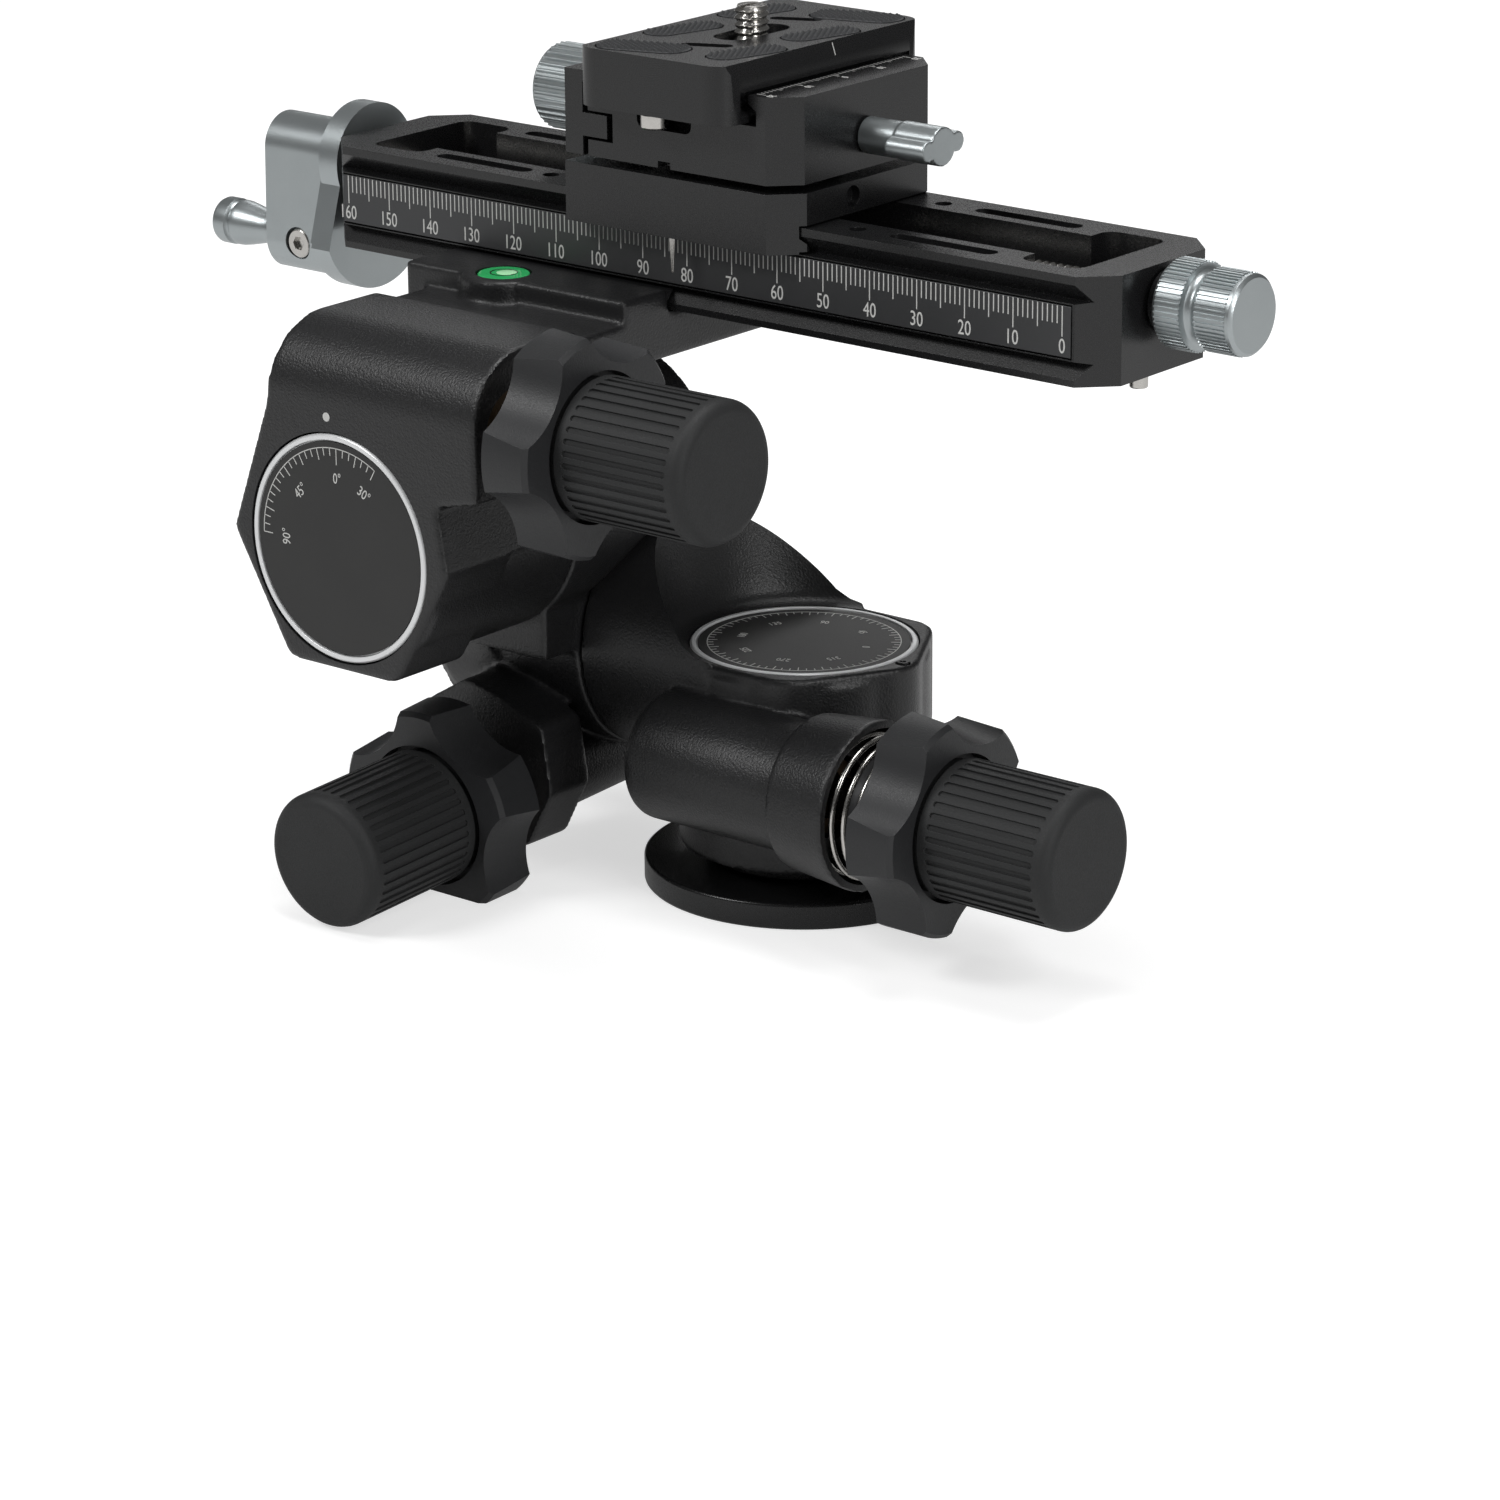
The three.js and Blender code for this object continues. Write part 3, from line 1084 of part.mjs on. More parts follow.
function addCarriage() {
  const { left, right, halfWidth: w, chamfer: c, bottom, top } = carriage;
  const plan = outlineOf(
    [[left, -w], [right - c, -w], [right, -w + c], [right, w - c], [right - c, w], [left, w]],
  );
  const inner = carriage.inner;
  const reach = inner - carriage.lipDepth;
  const half = [
    [0, bottom - cutMargin], [inner, bottom - cutMargin], [inner, carriage.lipLow],
    [reach, carriage.lipLow],
    [reach, carriage.lipMiddle], [inner, carriage.lipHigh], [inner, carriage.underside],
  ];
  const mirrored = half.slice(1).reverse().map(([y, z]) => [-y, z]);
  const channel = prism(outlineOf([...half, ...mirrored]), left - cutMargin, right + cutMargin, alongX);
  const lock = at(alongX, 0, carriage.lockY, carriage.lockHeight);
  const lockHole = rod(
    carriage.lockRadius, right - carriage.lockDepth, right + cutMargin, lock, smallSteps,
  );
  const slot = box(
    carriage.pointerX - carriage.pointerSlot, carriage.pointerX + carriage.pointerSlot,
    -w - cutMargin, -w + carriage.pointerThickness + gap, bottom - cutMargin, carriage.pointerTop + gap,
  );
  const taps = mountSpots().map(([x, y]) => rod(
    clamp.mountRadius + gap, top - clamp.mountDepth, top + cutMargin, shift(x, y, 0), smallSteps,
  ));
  addUpper("carriage", cutAll(prism(plan, bottom, top), [channel, lockHole, slot, ...taps]), anodised);

  const x = carriage.pointerX;
  const h = carriage.pointerHalf;
  const point = outlineOf([
    [x - h, carriage.pointerTop], [x - h, bottom], [x - h / 2, carriage.pointerBottom],
    [x + h / 2, carriage.pointerBottom], [x + h, bottom], [x + h, carriage.pointerTop],
  ]);
  addUpper("scale_pointer", prism(point, w - carriage.pointerThickness, w, alongMinusY), steel);

  const nutBox = box(
    clamp.mountX - carriage.nutHalfX, clamp.mountX + carriage.nutHalfX, -carriage.nutHalfY,
    carriage.nutHalfY,
    carriage.nutBottom, carriage.underside - gap,
  );
  const nutHole = rod(
    carriage.nutBore, clamp.mountX - carriage.nutHalfX - cutMargin,
    clamp.mountX + carriage.nutHalfX + cutMargin,
    at(alongX, 0, 0, rail.screwAxis), smallSteps + 2,
  );
  addUpper("drive_nut", nutBox.subtract(nutHole), bronze);
}

function mountSpots() {
  return [-1, 1].map((side) => [clamp.mountX, side * clamp.mountSpread]);
}

// Clamp block: channel between a fixed right jaw and the sliding left jaw.
function addClamp() {
  const { left, right, halfWidth: w, chamfer: c } = clamp;
  const plan = outlineOf(
    [[left, -w], [right - c, -w], [right, -w + c], [right, w - c], [right - c, w], [left, w]],
  );
  const whole = prism(plan, clamp.bottom, clamp.top);
  const spacer = rod(
    clamp.spacerRadius, carriage.top + gap, clamp.bottom + cutMargin, shift(clamp.mountX, 0, 0),
  );
  const channel = prism(outlineOf([
    [left - cutMargin, clamp.floor], [clamp.undercutX, clamp.floor], [clamp.undercutX, clamp.undercutLow],
    [clamp.jawX, clamp.lipUnder], [clamp.jawX, clamp.top + cutMargin],
    [left - cutMargin, clamp.top + cutMargin],
  ]), -w - cutMargin, w + cutMargin, alongMinusY);
  const tongue = box(
    left - cutMargin, clamp.tongueSlotX, -jaw.tongueHalf - gap, jaw.tongueHalf + gap,
    clamp.tongueSlotLow, clamp.tongueSlotHigh,
  );
  const recess = box(
    clamp.recessLeft, clamp.recessRight, -w - cutMargin, -w + clamp.recessDepth,
    clamp.recessLow, clamp.floor + cutMargin,
  );
  const notch = box(
    clamp.notchLeft, clamp.notchRight, -w - cutMargin, -w + clamp.notchDepth,
    clamp.bottom - cutMargin, clamp.notchTop,
  );
  const bore = rod(
    bolt.radius + gap, left - cutMargin, right + cutMargin, at(alongX, 0, 0, clamp.boltHeight), smallSteps,
  );
  const body = cutAll(whole.add(spacer), [channel, tongue, recess, notch, bore, mountStuds(gap)]);
  addUpper("clamp_block", body, anodised);
  addUpper("clamp_studs", mountStuds(0), steel);
}

// Bar let into the clamp floor, with two studs down into the carriage.
function mountStuds(play) {
  const half = clamp.mountBarWidth / 2 + play;
  const low = clamp.floor - gap - clamp.mountBarHeight - play;
  const top = clamp.floor - gap + play * 2;
  const [x, reach] = [clamp.mountX, clamp.mountSpread + half];
  const bar = box(x - half, x + half, -reach, reach, low, top);
  const studs = mountSpots().map(([a, b]) => rod(
    clamp.mountRadius + play, carriage.top - clamp.mountDepth + gap - play, low + gap,
    shift(a, b, 0), smallSteps,
  ));
  return joinAll([bar, ...studs]);
}

function addClampJaw() {
  const w = clamp.halfWidth;
  const outline = outlineOf([
    [jaw.outer + jaw.round, clamp.bottom], [jaw.inner, clamp.bottom], [jaw.inner, jaw.lipLow],
    [jaw.inner + jaw.lipReach, jaw.lipSlope], [jaw.inner + jaw.lipReach, jaw.top],
    [jaw.outer + jaw.round, jaw.top], [jaw.outer, jaw.top - jaw.round],
    [jaw.outer, clamp.bottom + jaw.round],
  ]);
  const bar = prism(outline, -w, w, alongMinusY);
  const tongue = box(
    jaw.inner - cutMargin, jaw.tongueEnd, -jaw.tongueHalf, jaw.tongueHalf, jaw.tongueLow, jaw.tongueHigh,
  );
  const line = at(alongX, 0, 0, clamp.boltHeight);
  const bore = rod(bolt.radius + gap, jaw.outer - cutMargin, clamp.tongueSlotX, line, smallSteps);
  addUpper("clamp_jaw", bar.add(tongue).subtract(bore), anodised);

  const k = clampKnob;
  const core = turned([
    [0, k.end], [k.radius - k.round, k.end], [k.radius - k.round, k.start], [k.neckRadius, k.start],
    [k.neckRadius, jaw.outer - gap * 2], [0, jaw.outer - gap * 2],
  ], smallSteps + 2, line);
  const grip = prism(
    notchedOutline(k.radius, k.depth, k.flutes, k.share), k.end + k.round, k.start - k.round, line,
  );
  const hole = rod(bolt.radius + gap, bolt.left - gap, jaw.outer, line, smallSteps);
  addUpper("clamp_knob", joinAll([core, grip]).subtract(hole), silver);
}

// Two-winged quick lever on the right end of the clamp bolt.
function addWing() {
  const line = at(alongX, 0, 0, clamp.boltHeight);
  const stem = rod(wing.stemRadius, wing.stemStart, wing.start + cutMargin, line, smallSteps);
  const hub = rod(wing.hubRadius, wing.start, wing.end, line, smallSteps + 2);
  const lobes = Array.from({ length: wing.lobes }, (_, i) => {
    const turn = new THREE.Matrix4().makeRotationZ(radians(wing.phase) + (i / wing.lobes) * TURN);
    const frame = line.clone().multiply(turn).multiply(shift(wing.lobeReach - wing.lobeRadius, 0, 0));
    return rod(wing.lobeRadius, wing.start, wing.end, frame, smallSteps);
  });
  const shank = rod(bolt.radius, bolt.left, wing.stemStart + cutMargin, line, smallSteps);
  addUpper("wing_lever", joinAll([stem, hub, ...lobes, shank]), silver);
}

function padFrame(x, y, turn) {
  return shift(plate.screwX + x, y, 0).multiply(new THREE.Matrix4().makeRotationZ(radians(turn)));
}

function padSpots() {
  return [
    [-pad.endX, -pad.endY, pad.endTurn, pad.endLong, pad.endWide],
    [-pad.middleX, -pad.middleY, pad.sideTurn, pad.sideLong, pad.sideWide],
    [-pad.frontX, pad.frontY, pad.sideTurn, pad.sideLong, pad.sideWide],
    [pad.endX, pad.endY, pad.endTurn, pad.endLong, pad.endWide],
    [pad.middleX, pad.middleY, pad.sideTurn, pad.sideLong, pad.sideWide],
    [pad.frontX, -pad.frontY, pad.sideTurn, pad.sideLong, pad.sideWide],
  ];
}

// Six rubber pads on one hidden string of links; grown by the play for their pockets.
function padString(play, top) {
  const low = plate.top - plate.padDepth - play;
  const bodies = [];
  const spots = padSpots();
  spots.forEach(([x, y, turn, long, width], i) => {
    const outline = slotOutline(long / 2 + play, width / 2 + play);
    bodies.push(prism(outline, low, top, padFrame(x, y, turn), 3));
    if (i > 0) {
      const [px, py] = spots[i - 1];
      const turnTo = Math.atan2(y - py, x - px);
      const half = Math.hypot(y - py, x - px) / 2;
      const frame = padFrame((x + px) / 2, (y + py) / 2, THREE.MathUtils.radToDeg(turnTo));
      const side = pad.linkWidth / 2 + play;
      const lift = low + play;
      bodies.push(
        box(-half, half, -side, side, lift + gap - play, lift + gap + pad.linkHeight + play, frame),
      );
    }
  });
  return joinAll(bodies);
}

function addPlate() {
  const { left, right, top, bottom, chamfer: c, halfLength: h } = plate;
  const side = (x, s) => [
    [x, plate.sideBevel], [x, plate.grooveHeight],
    [x + s * plate.grooveDepth, plate.grooveHeight - plate.grooveDepth],
    [x + s * plate.footReach, plate.footHigh], [x, plate.footLow], [x, bottom],
  ];
  const leftSide = side(left, 1);
  const rightSide = side(right, -1).reverse();
  const profile = outlineOf([[left + c, top], ...leftSide, ...rightSide, [right - c, top]]);
  const middle = prism(profile, -h + plate.lipLength, h - plate.lipLength, alongMinusY);
  const endOutline = outlineOf([
    [left + c, top], [left, plate.sideBevel], [left, bottom], [right, bottom],
    [right, plate.sideBevel], [right - c, top],
  ]);
  const full = prism(endOutline, -h, h, alongMinusY);
  const room = box(
    left - cutMargin, right + cutMargin, -h + plate.lipLength, h - plate.lipLength,
    bottom - cutMargin, top + cutMargin,
  );
  const body = full.subtract(room).add(middle);
  const slot = prism(
    slotOutline(plate.slotHalfLength, plate.slotHalfWidth), bottom - cutMargin, top + cutMargin,
    padFrame(0, 0, 90), 4,
  );
  const counter = prism(
    slotOutline(
      plate.slotHalfLength + plate.counterHalfWidth - plate.slotHalfWidth, plate.counterHalfWidth,
    ),
    bottom - cutMargin, bottom + plate.counterDepth, padFrame(0, 0, 90), 4,
  );
  const curved = [1, -1].map((s) => prism(
    slotOutline(plate.curvedLength / 2, plate.curvedWidth / 2), bottom - cutMargin, top + cutMargin,
    padFrame(s * plate.curvedX, -s * plate.curvedY, plate.curvedTurn), 3,
  ));
  const pinHole = rod(
    stopPin.radius + gap, bottom - cutMargin, stopPin.top + gap, shift(stopPin.x, stopPin.y, 0),
    smallSteps,
  );
  addUpper(
    "quick_plate",
    cutAll(body, [slot, counter, ...curved, padString(gap, top + cutMargin), pinHole]), anodised
  );

  addUpper("plate_pads", padString(0, top + pad.rise), padRubber);

  const s = cameraScrew;
  const screw = turned([
    [0, s.bottom], [s.headRadius, s.bottom], [s.headRadius, s.bottom + s.headThickness],
    [s.radius, s.bottom + s.headThickness], [s.radius, s.top - s.tip], [s.radius - s.tip, s.top],
    [0, s.top],
  ], smallSteps + 2, shift(plate.screwX, 0, 0));
  const socket = prism(
    outlineOf(polygon(6, s.socketRadius, 0)), s.bottom - cutMargin, s.bottom + s.socketDepth,
    shift(plate.screwX, 0, 0),
  );
  addUpper("camera_screw", screw.subtract(socket), steel);
  addUpper("plate_stop_pin", turned([
    [0, stopPin.headLow], [stopPin.headRadius, stopPin.headLow], [stopPin.headRadius, stopPin.headHigh],
    [stopPin.radius, stopPin.headHigh], [stopPin.radius, stopPin.top], [0, stopPin.top],
  ], smallSteps, shift(stopPin.x, stopPin.y, 0)), steel);
}

addBase();
addPanStage();
addTiltStage();
addRollStage();
addRearJaw();
addRail();
addLeadScrew();
addCrank();
addCarriage();
addClamp();
addClampJaw();
addWing();
addPlate();

export default group;
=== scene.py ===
import json
import math
import bmesh
import bpy
from mathutils import Matrix, Vector


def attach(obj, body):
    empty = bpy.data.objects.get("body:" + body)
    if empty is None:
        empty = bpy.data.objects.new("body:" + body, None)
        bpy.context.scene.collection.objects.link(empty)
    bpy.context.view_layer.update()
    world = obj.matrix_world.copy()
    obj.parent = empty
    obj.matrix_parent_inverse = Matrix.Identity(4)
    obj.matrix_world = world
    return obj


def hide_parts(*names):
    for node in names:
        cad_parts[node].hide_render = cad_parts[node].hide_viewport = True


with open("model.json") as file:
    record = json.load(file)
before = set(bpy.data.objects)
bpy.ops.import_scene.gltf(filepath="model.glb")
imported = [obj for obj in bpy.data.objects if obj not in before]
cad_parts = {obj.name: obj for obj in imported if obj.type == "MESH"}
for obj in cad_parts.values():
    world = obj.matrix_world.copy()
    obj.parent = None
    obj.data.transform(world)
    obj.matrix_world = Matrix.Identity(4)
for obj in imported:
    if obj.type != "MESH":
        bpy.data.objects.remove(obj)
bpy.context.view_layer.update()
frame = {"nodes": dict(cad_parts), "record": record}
print("frame loaded")

millimetre = 0.001                      # pieces are drawn in millimetres and finished in metres
fullTurn = math.tau
room = 0.3                              # gap left round a piece that sits in another
past = 3.0                              # how far a cutting tool runs on past what it cuts
lap = 2.0                               # how far joined pieces reach into each other
scene = bpy.context.scene


# camera, floor and lights

shot = {
    "eye": (0.566321, -0.707413, 0.331639),
    "back": (0.59969, -0.73266, 0.32170),
    "side": (0.77388, 0.63333, 0.0),
    "roll": -0.413,                     # degrees
    "lens": 128.006,
    "sensor": 36.0,
}


def aimCamera():
    back = Vector(shot["back"]).normalized()
    side = Vector(shot["side"]).normalized()
    rise = back.cross(side).normalized()
    roll = math.radians(shot["roll"])
    across = side * math.cos(roll) + rise * math.sin(roll)
    upward = rise * math.cos(roll) - side * math.sin(roll)
    pose = Matrix((across, upward, back)).transposed().to_4x4()
    pose.translation = Vector(shot["eye"])
    lens = bpy.data.cameras.new("studioCamera")
    lens.sensor_width = shot["sensor"]
    lens.lens = shot["lens"]
    lens.clip_start = 0.01
    lens.clip_end = 50.0
    camera = bpy.data.objects.new("studioCamera", lens)
    camera.matrix_world = pose
    scene.collection.objects.link(camera)
    scene.camera = camera


studio = {
    "floorReach": 9.0,
    "floorColour": (0.62, 0.62, 0.62, 1.0),
    "floorGlow": 0.62,                  # added where the floor is seen, so that it reads as white paper
    "reflectedShare": 0.35,             # how much of that glow the part's own surfaces mirror
    "worldColour": (1.0, 1.0, 1.0, 1.0),
    "worldSeen": 1.0,
    "worldFill": 0.10,
}
lamps = {                               # place, aim, width, height, watts
    "keyPanel": ((-0.75, -1.25, 1.35), (-0.02, -0.02, 0.08), 0.7, 0.5, 15.0),
    "stripPanel": ((1.35, -0.45, 0.75), (0.0, 0.0, 0.08), 0.25, 1.0, 9.0),
    "topPanel": ((0.05, 0.1, 1.5), (0.0, 0.0, 0.1), 0.9, 0.7, 13.0),
    "backPanel": ((-0.9, 1.3, 1.1), (0.0, 0.0, 0.1), 0.6, 0.6, 3.0),
}


def seenOrReflected(nodes, links):      # 1 where the camera looks, a share of it where a surface mirrors
    rays = nodes.new("ShaderNodeLightPath")
    first = nodes.new("ShaderNodeMath")
    first.operation = "MAXIMUM"
    second = nodes.new("ShaderNodeMath")
    second.operation = "MAXIMUM"
    share = nodes.new("ShaderNodeMath")
    share.operation = "MULTIPLY"
    share.inputs[1].default_value = studio["reflectedShare"]
    links.new(rays.outputs["Is Glossy Ray"], share.inputs[0])
    links.new(rays.outputs["Is Camera Ray"], first.inputs[0])
    links.new(share.outputs[0], first.inputs[1])
    links.new(first.outputs[0], second.inputs[0])
    links.new(rays.outputs["Is Transmission Ray"], second.inputs[1])
    return second.outputs[0]


def layFloor():
    reach = studio["floorReach"]
    mesh = bpy.data.meshes.new("paperFloor")
    mesh.from_pydata(
        [(-reach, -reach, 0.0), (reach, -reach, 0.0), (reach, reach, 0.0), (-reach, reach, 0.0)], [], [(0, 1, 2, 3)],
    )
    floor = bpy.data.objects.new("paperFloor", mesh)
    scene.collection.objects.link(floor)
    paper = bpy.data.materials.new("paperFloor")
    paper.use_nodes = True
    nodes, links = paper.node_tree.nodes, paper.node_tree.links
    nodes.clear()
    matt = nodes.new("ShaderNodeBsdfDiffuse")
    matt.inputs["Color"].default_value = studio["floorColour"]
    glow = nodes.new("ShaderNodeEmission")
    glow.inputs["Color"].default_value = (1.0, 1.0, 1.0, 1.0)
    seen = seenOrReflected(nodes, links)
    strength = nodes.new("ShaderNodeMath")
    strength.operation = "MULTIPLY"
    strength.inputs[1].default_value = studio["floorGlow"]
    both = nodes.new("ShaderNodeAddShader")
    out = nodes.new("ShaderNodeOutputMaterial")
    links.new(seen, strength.inputs[0])
    links.new(strength.outputs[0], glow.inputs["Strength"])
    links.new(matt.outputs[0], both.inputs[0])
    links.new(glow.outputs[0], both.inputs[1])
    links.new(both.outputs[0], out.inputs["Surface"])
    mesh.materials.append(paper)


def lightStudio():
    world = bpy.data.worlds.new("studioWorld")
    world.use_nodes = True
    nodes, links = world.node_tree.nodes, world.node_tree.links
    nodes.clear()
    glow = nodes.new("ShaderNodeBackground")
    glow.inputs["Color"].default_value = studio["worldColour"]
    rays = nodes.new("ShaderNodeLightPath")
    strength = nodes.new("ShaderNodeMapRange")
    strength.inputs["To Min"].default_value = studio["worldFill"]
    strength.inputs["To Max"].default_value = studio["worldSeen"]
    out = nodes.new("ShaderNodeOutputWorld")
    links.new(rays.outputs["Is Camera Ray"], strength.inputs["Value"])
    links.new(strength.outputs["Result"], glow.inputs["Strength"])
    links.new(glow.outputs[0], out.inputs["Surface"])
    scene.world = world
    for name, (place, aim, width, height, watts) in lamps.items():
        lamp = bpy.data.lights.new(name, "AREA")
        lamp.shape = "RECTANGLE"
        lamp.size = width
        lamp.size_y = height
        lamp.energy = watts
        panel = bpy.data.objects.new(name, lamp)
        towards = Vector(aim) - Vector(place)
        panel.rotation_euler = towards.to_track_quat("-Z", "Y").to_euler()
        panel.location = place
        scene.collection.objects.link(panel)
    scene.view_settings.view_transform = "Standard"


aimCamera()
layFloor()
lightStudio()
print("camera, floor and lights placed")


# finishes

finishes = {
    "castPaint": {                      # fine powder coat on the castings
        "colour": (0.0085, 0.0087, 0.0092), "second": (0.013, 0.013, 0.0137), "metal": 0.0, "rough": (0.34, 0.44),
        "grain": 2400.0, "depth": 0.00010, "cloud": 60.0, "specular": 0.5,
    },
    "blackAnodise": {                   # machined bars, plate and clamp
        "colour": (0.0075, 0.0077, 0.0082), "second": (0.012, 0.012, 0.0125), "metal": 0.0, "rough": (0.24, 0.32),
        "grain": 5200.0, "depth": 0.00001, "cloud": 35.0, "specular": 0.5,
    },
    "collarPlastic": {
        "colour": (0.017, 0.0175, 0.0185), "second": (0.024, 0.0245, 0.026), "metal": 0.0, "rough": (0.40, 0.50),
        "grain": 3200.0, "depth": 0.00003, "cloud": 80.0, "specular": 0.42,
    },
    "knobRubber": {
        "colour": (0.017, 0.0175, 0.018), "second": (0.024, 0.0245, 0.025), "metal": 0.0, "rough": (0.55, 0.68),
        "grain": 4200.0, "depth": 0.00004, "cloud": 120.0, "specular": 0.35,
    },
    "polishedSteel": {
        "colour": (0.60, 0.58, 0.55), "second": (0.50, 0.49, 0.47), "metal": 1.0, "rough": (0.16, 0.28),
        "grain": 3000.0, "depth": 0.00001, "cloud": 240.0, "specular": 0.5,
    },
    "satinAlloy": {                     # grey-green anodised knobs, crank and lever
        "colour": (0.43, 0.465, 0.47), "second": (0.38, 0.41, 0.42), "metal": 0.88, "rough": (0.30, 0.40),
        "grain": 4200.0, "depth": 0.00002, "cloud": 150.0, "specular": 0.5,
    },
    "ringAlloy": {                      # white anodised rings of the dials
        "colour": (0.86, 0.87, 0.87), "second": (0.80, 0.81, 0.82), "metal": 0.25, "rough": (0.28, 0.36),
        "grain": 3000.0, "depth": 0.00001, "cloud": 150.0, "specular": 0.5,
    },
    # dark oiled bronze of the worm bushes, made darker still as painted shade for the shaded gap they are seen through
    "bearingBronze": {
        "colour": (0.13, 0.09, 0.055), "second": (0.10, 0.07, 0.045), "metal": 1.0, "rough": (0.36, 0.48),
        "grain": 2600.0, "depth": 0.00002, "cloud": 180.0, "specular": 0.5,
    },
    "dialFace": {                       # printed foil of the dials
        "colour": (0.034, 0.034, 0.034), "second": (0.041, 0.041, 0.040), "metal": 0.0, "rough": (0.42, 0.50),
        "grain": 6000.0, "depth": 0.00001, "cloud": 90.0, "specular": 0.25,
    },
    "whiteMark": {
        "colour": (0.72, 0.72, 0.70), "second": (0.62, 0.62, 0.60), "metal": 0.0, "rough": (0.50, 0.60),
        "grain": 5000.0, "depth": 0.00001, "cloud": 300.0, "specular": 0.4,
    },
    "stripFace": {                      # long scale of the rail
        "colour": (0.050, 0.051, 0.053), "second": (0.062, 0.063, 0.065), "metal": 0.35, "rough": (0.36, 0.44),
        "grain": 5200.0, "depth": 0.00001, "cloud": 50.0, "specular": 0.5,
    },
    "padRubber": {
        "colour": (0.040, 0.041, 0.043), "second": (0.055, 0.056, 0.058), "metal": 0.0, "rough": (0.66, 0.80),
        "grain": 3600.0, "depth": 0.00004, "cloud": 200.0, "specular": 0.3,
    },
    "vialFluid": {
        "colour": (0.015, 0.33, 0.085), "second": (0.035, 0.45, 0.14), "metal": 0.0, "rough": (0.06, 0.10),
        "grain": 900.0, "depth": 0.0, "cloud": 400.0, "specular": 0.5,
    },
    "vialBubble": {
        "colour": (0.45, 0.85, 0.50), "second": (0.38, 0.78, 0.42), "metal": 0.0, "rough": (0.05, 0.10),
        "grain": 900.0, "depth": 0.0, "cloud": 400.0, "specular": 0.6,
    },
}


def mixFinish(name, look):
    paint = bpy.data.materials.new(name)
    paint.use_nodes = True
    nodes, links = paint.node_tree.nodes, paint.node_tree.links
    nodes.clear()
    spot = nodes.new("ShaderNodeTexCoord")
    cloud = nodes.new("ShaderNodeTexNoise")
    cloud.inputs["Scale"].default_value = look["cloud"]
    cloud.inputs["Detail"].default_value = 4.0
    grain = nodes.new("ShaderNodeTexNoise")
    grain.inputs["Scale"].default_value = look["grain"]
    grain.inputs["Detail"].default_value = 3.0
    tint = nodes.new("ShaderNodeMix")
    tint.data_type = "RGBA"
    tint.inputs["A"].default_value = (*look["colour"], 1.0)
    tint.inputs["B"].default_value = (*look["second"], 1.0)
    gloss = nodes.new("ShaderNodeMapRange")
    gloss.inputs["From Min"].default_value = 0.3
    gloss.inputs["From Max"].default_value = 0.7
    gloss.inputs["To Min"].default_value = look["rough"][0]
    gloss.inputs["To Max"].default_value = look["rough"][1]
    skin = nodes.new("ShaderNodeBsdfPrincipled")
    skin.inputs["Metallic"].default_value = look["metal"]
    skin.inputs["Specular IOR Level"].default_value = look["specular"]
    out = nodes.new("ShaderNodeOutputMaterial")
    links.new(spot.outputs["Object"], cloud.inputs["Vector"])
    links.new(spot.outputs["Object"], grain.inputs["Vector"])
    links.new(cloud.outputs["Fac"], tint.inputs["Factor"])
    links.new(tint.outputs["Result"], skin.inputs["Base Color"])
    links.new(grain.outputs["Fac"], gloss.inputs["Value"])
    links.new(gloss.outputs["Result"], skin.inputs["Roughness"])
    if look["depth"] > 0:
        bump = nodes.new("ShaderNodeBump")
        bump.inputs["Strength"].default_value = 1.0
        bump.inputs["Distance"].default_value = look["depth"]
        links.new(grain.outputs["Fac"], bump.inputs["Height"])
        links.new(bump.outputs["Normal"], skin.inputs["Normal"])
    links.new(skin.outputs[0], out.inputs["Surface"])
    return paint


paints = {name: mixFinish(name, look) for name, look in finishes.items()}

slotPaints = {                          # the solids' finishes and the paints that show them
    "cast_black": "castPaint", "anodised_black": "blackAnodise", "collar_black": "collarPlastic",
    "knob_rubber": "knobRubber", "bright_steel": "polishedSteel", "silver_alloy": "satinAlloy",
    "bearing_bronze": "bearingBronze", "dial_black": "dialFace", "pad_rubber": "padRubber",
    "vial_green": "vialFluid", "scale_strip": "stripFace",
}


def paintHiddenParts():
    slotOf = {entry["node"]: entry["material_slot"] for entry in frame["record"]["subparts"]}
    for name, thing in frame["nodes"].items():
        paint = paints[slotPaints[slotOf[name]]]
        if not thing.data.materials:
            thing.data.materials.append(paint)
        for place in thing.material_slots:
            place.material = paint


paintHiddenParts()
print("finishes mixed")


# drawing tools: closed bodies in millimetres

def frameAt(origin, alongX, alongY):
    x = Vector(alongX).normalized()
    y = Vector(alongY).normalized()
    place = Matrix((x, y, x.cross(y))).transposed().to_4x4()
    place.translation = Vector(origin)
    return place


def moved(place, x, y, z):
    return Matrix.Translation((x, y, z)) @ place


def bodyOf(points, faces, place=None):
    shape = bmesh.new()
    spots = [shape.verts.new(point) for point in points]
    for face in faces:
        shape.faces.new([spots[i] for i in face])
    bmesh.ops.recalc_face_normals(shape, faces=shape.faces)
    if place is not None:
        shape.transform(place)
    mesh = bpy.data.meshes.new("draft")
    shape.to_mesh(mesh)
    shape.free()
    draft = bpy.data.objects.new("draft", mesh)
    scene.collection.objects.link(draft)
    return draft


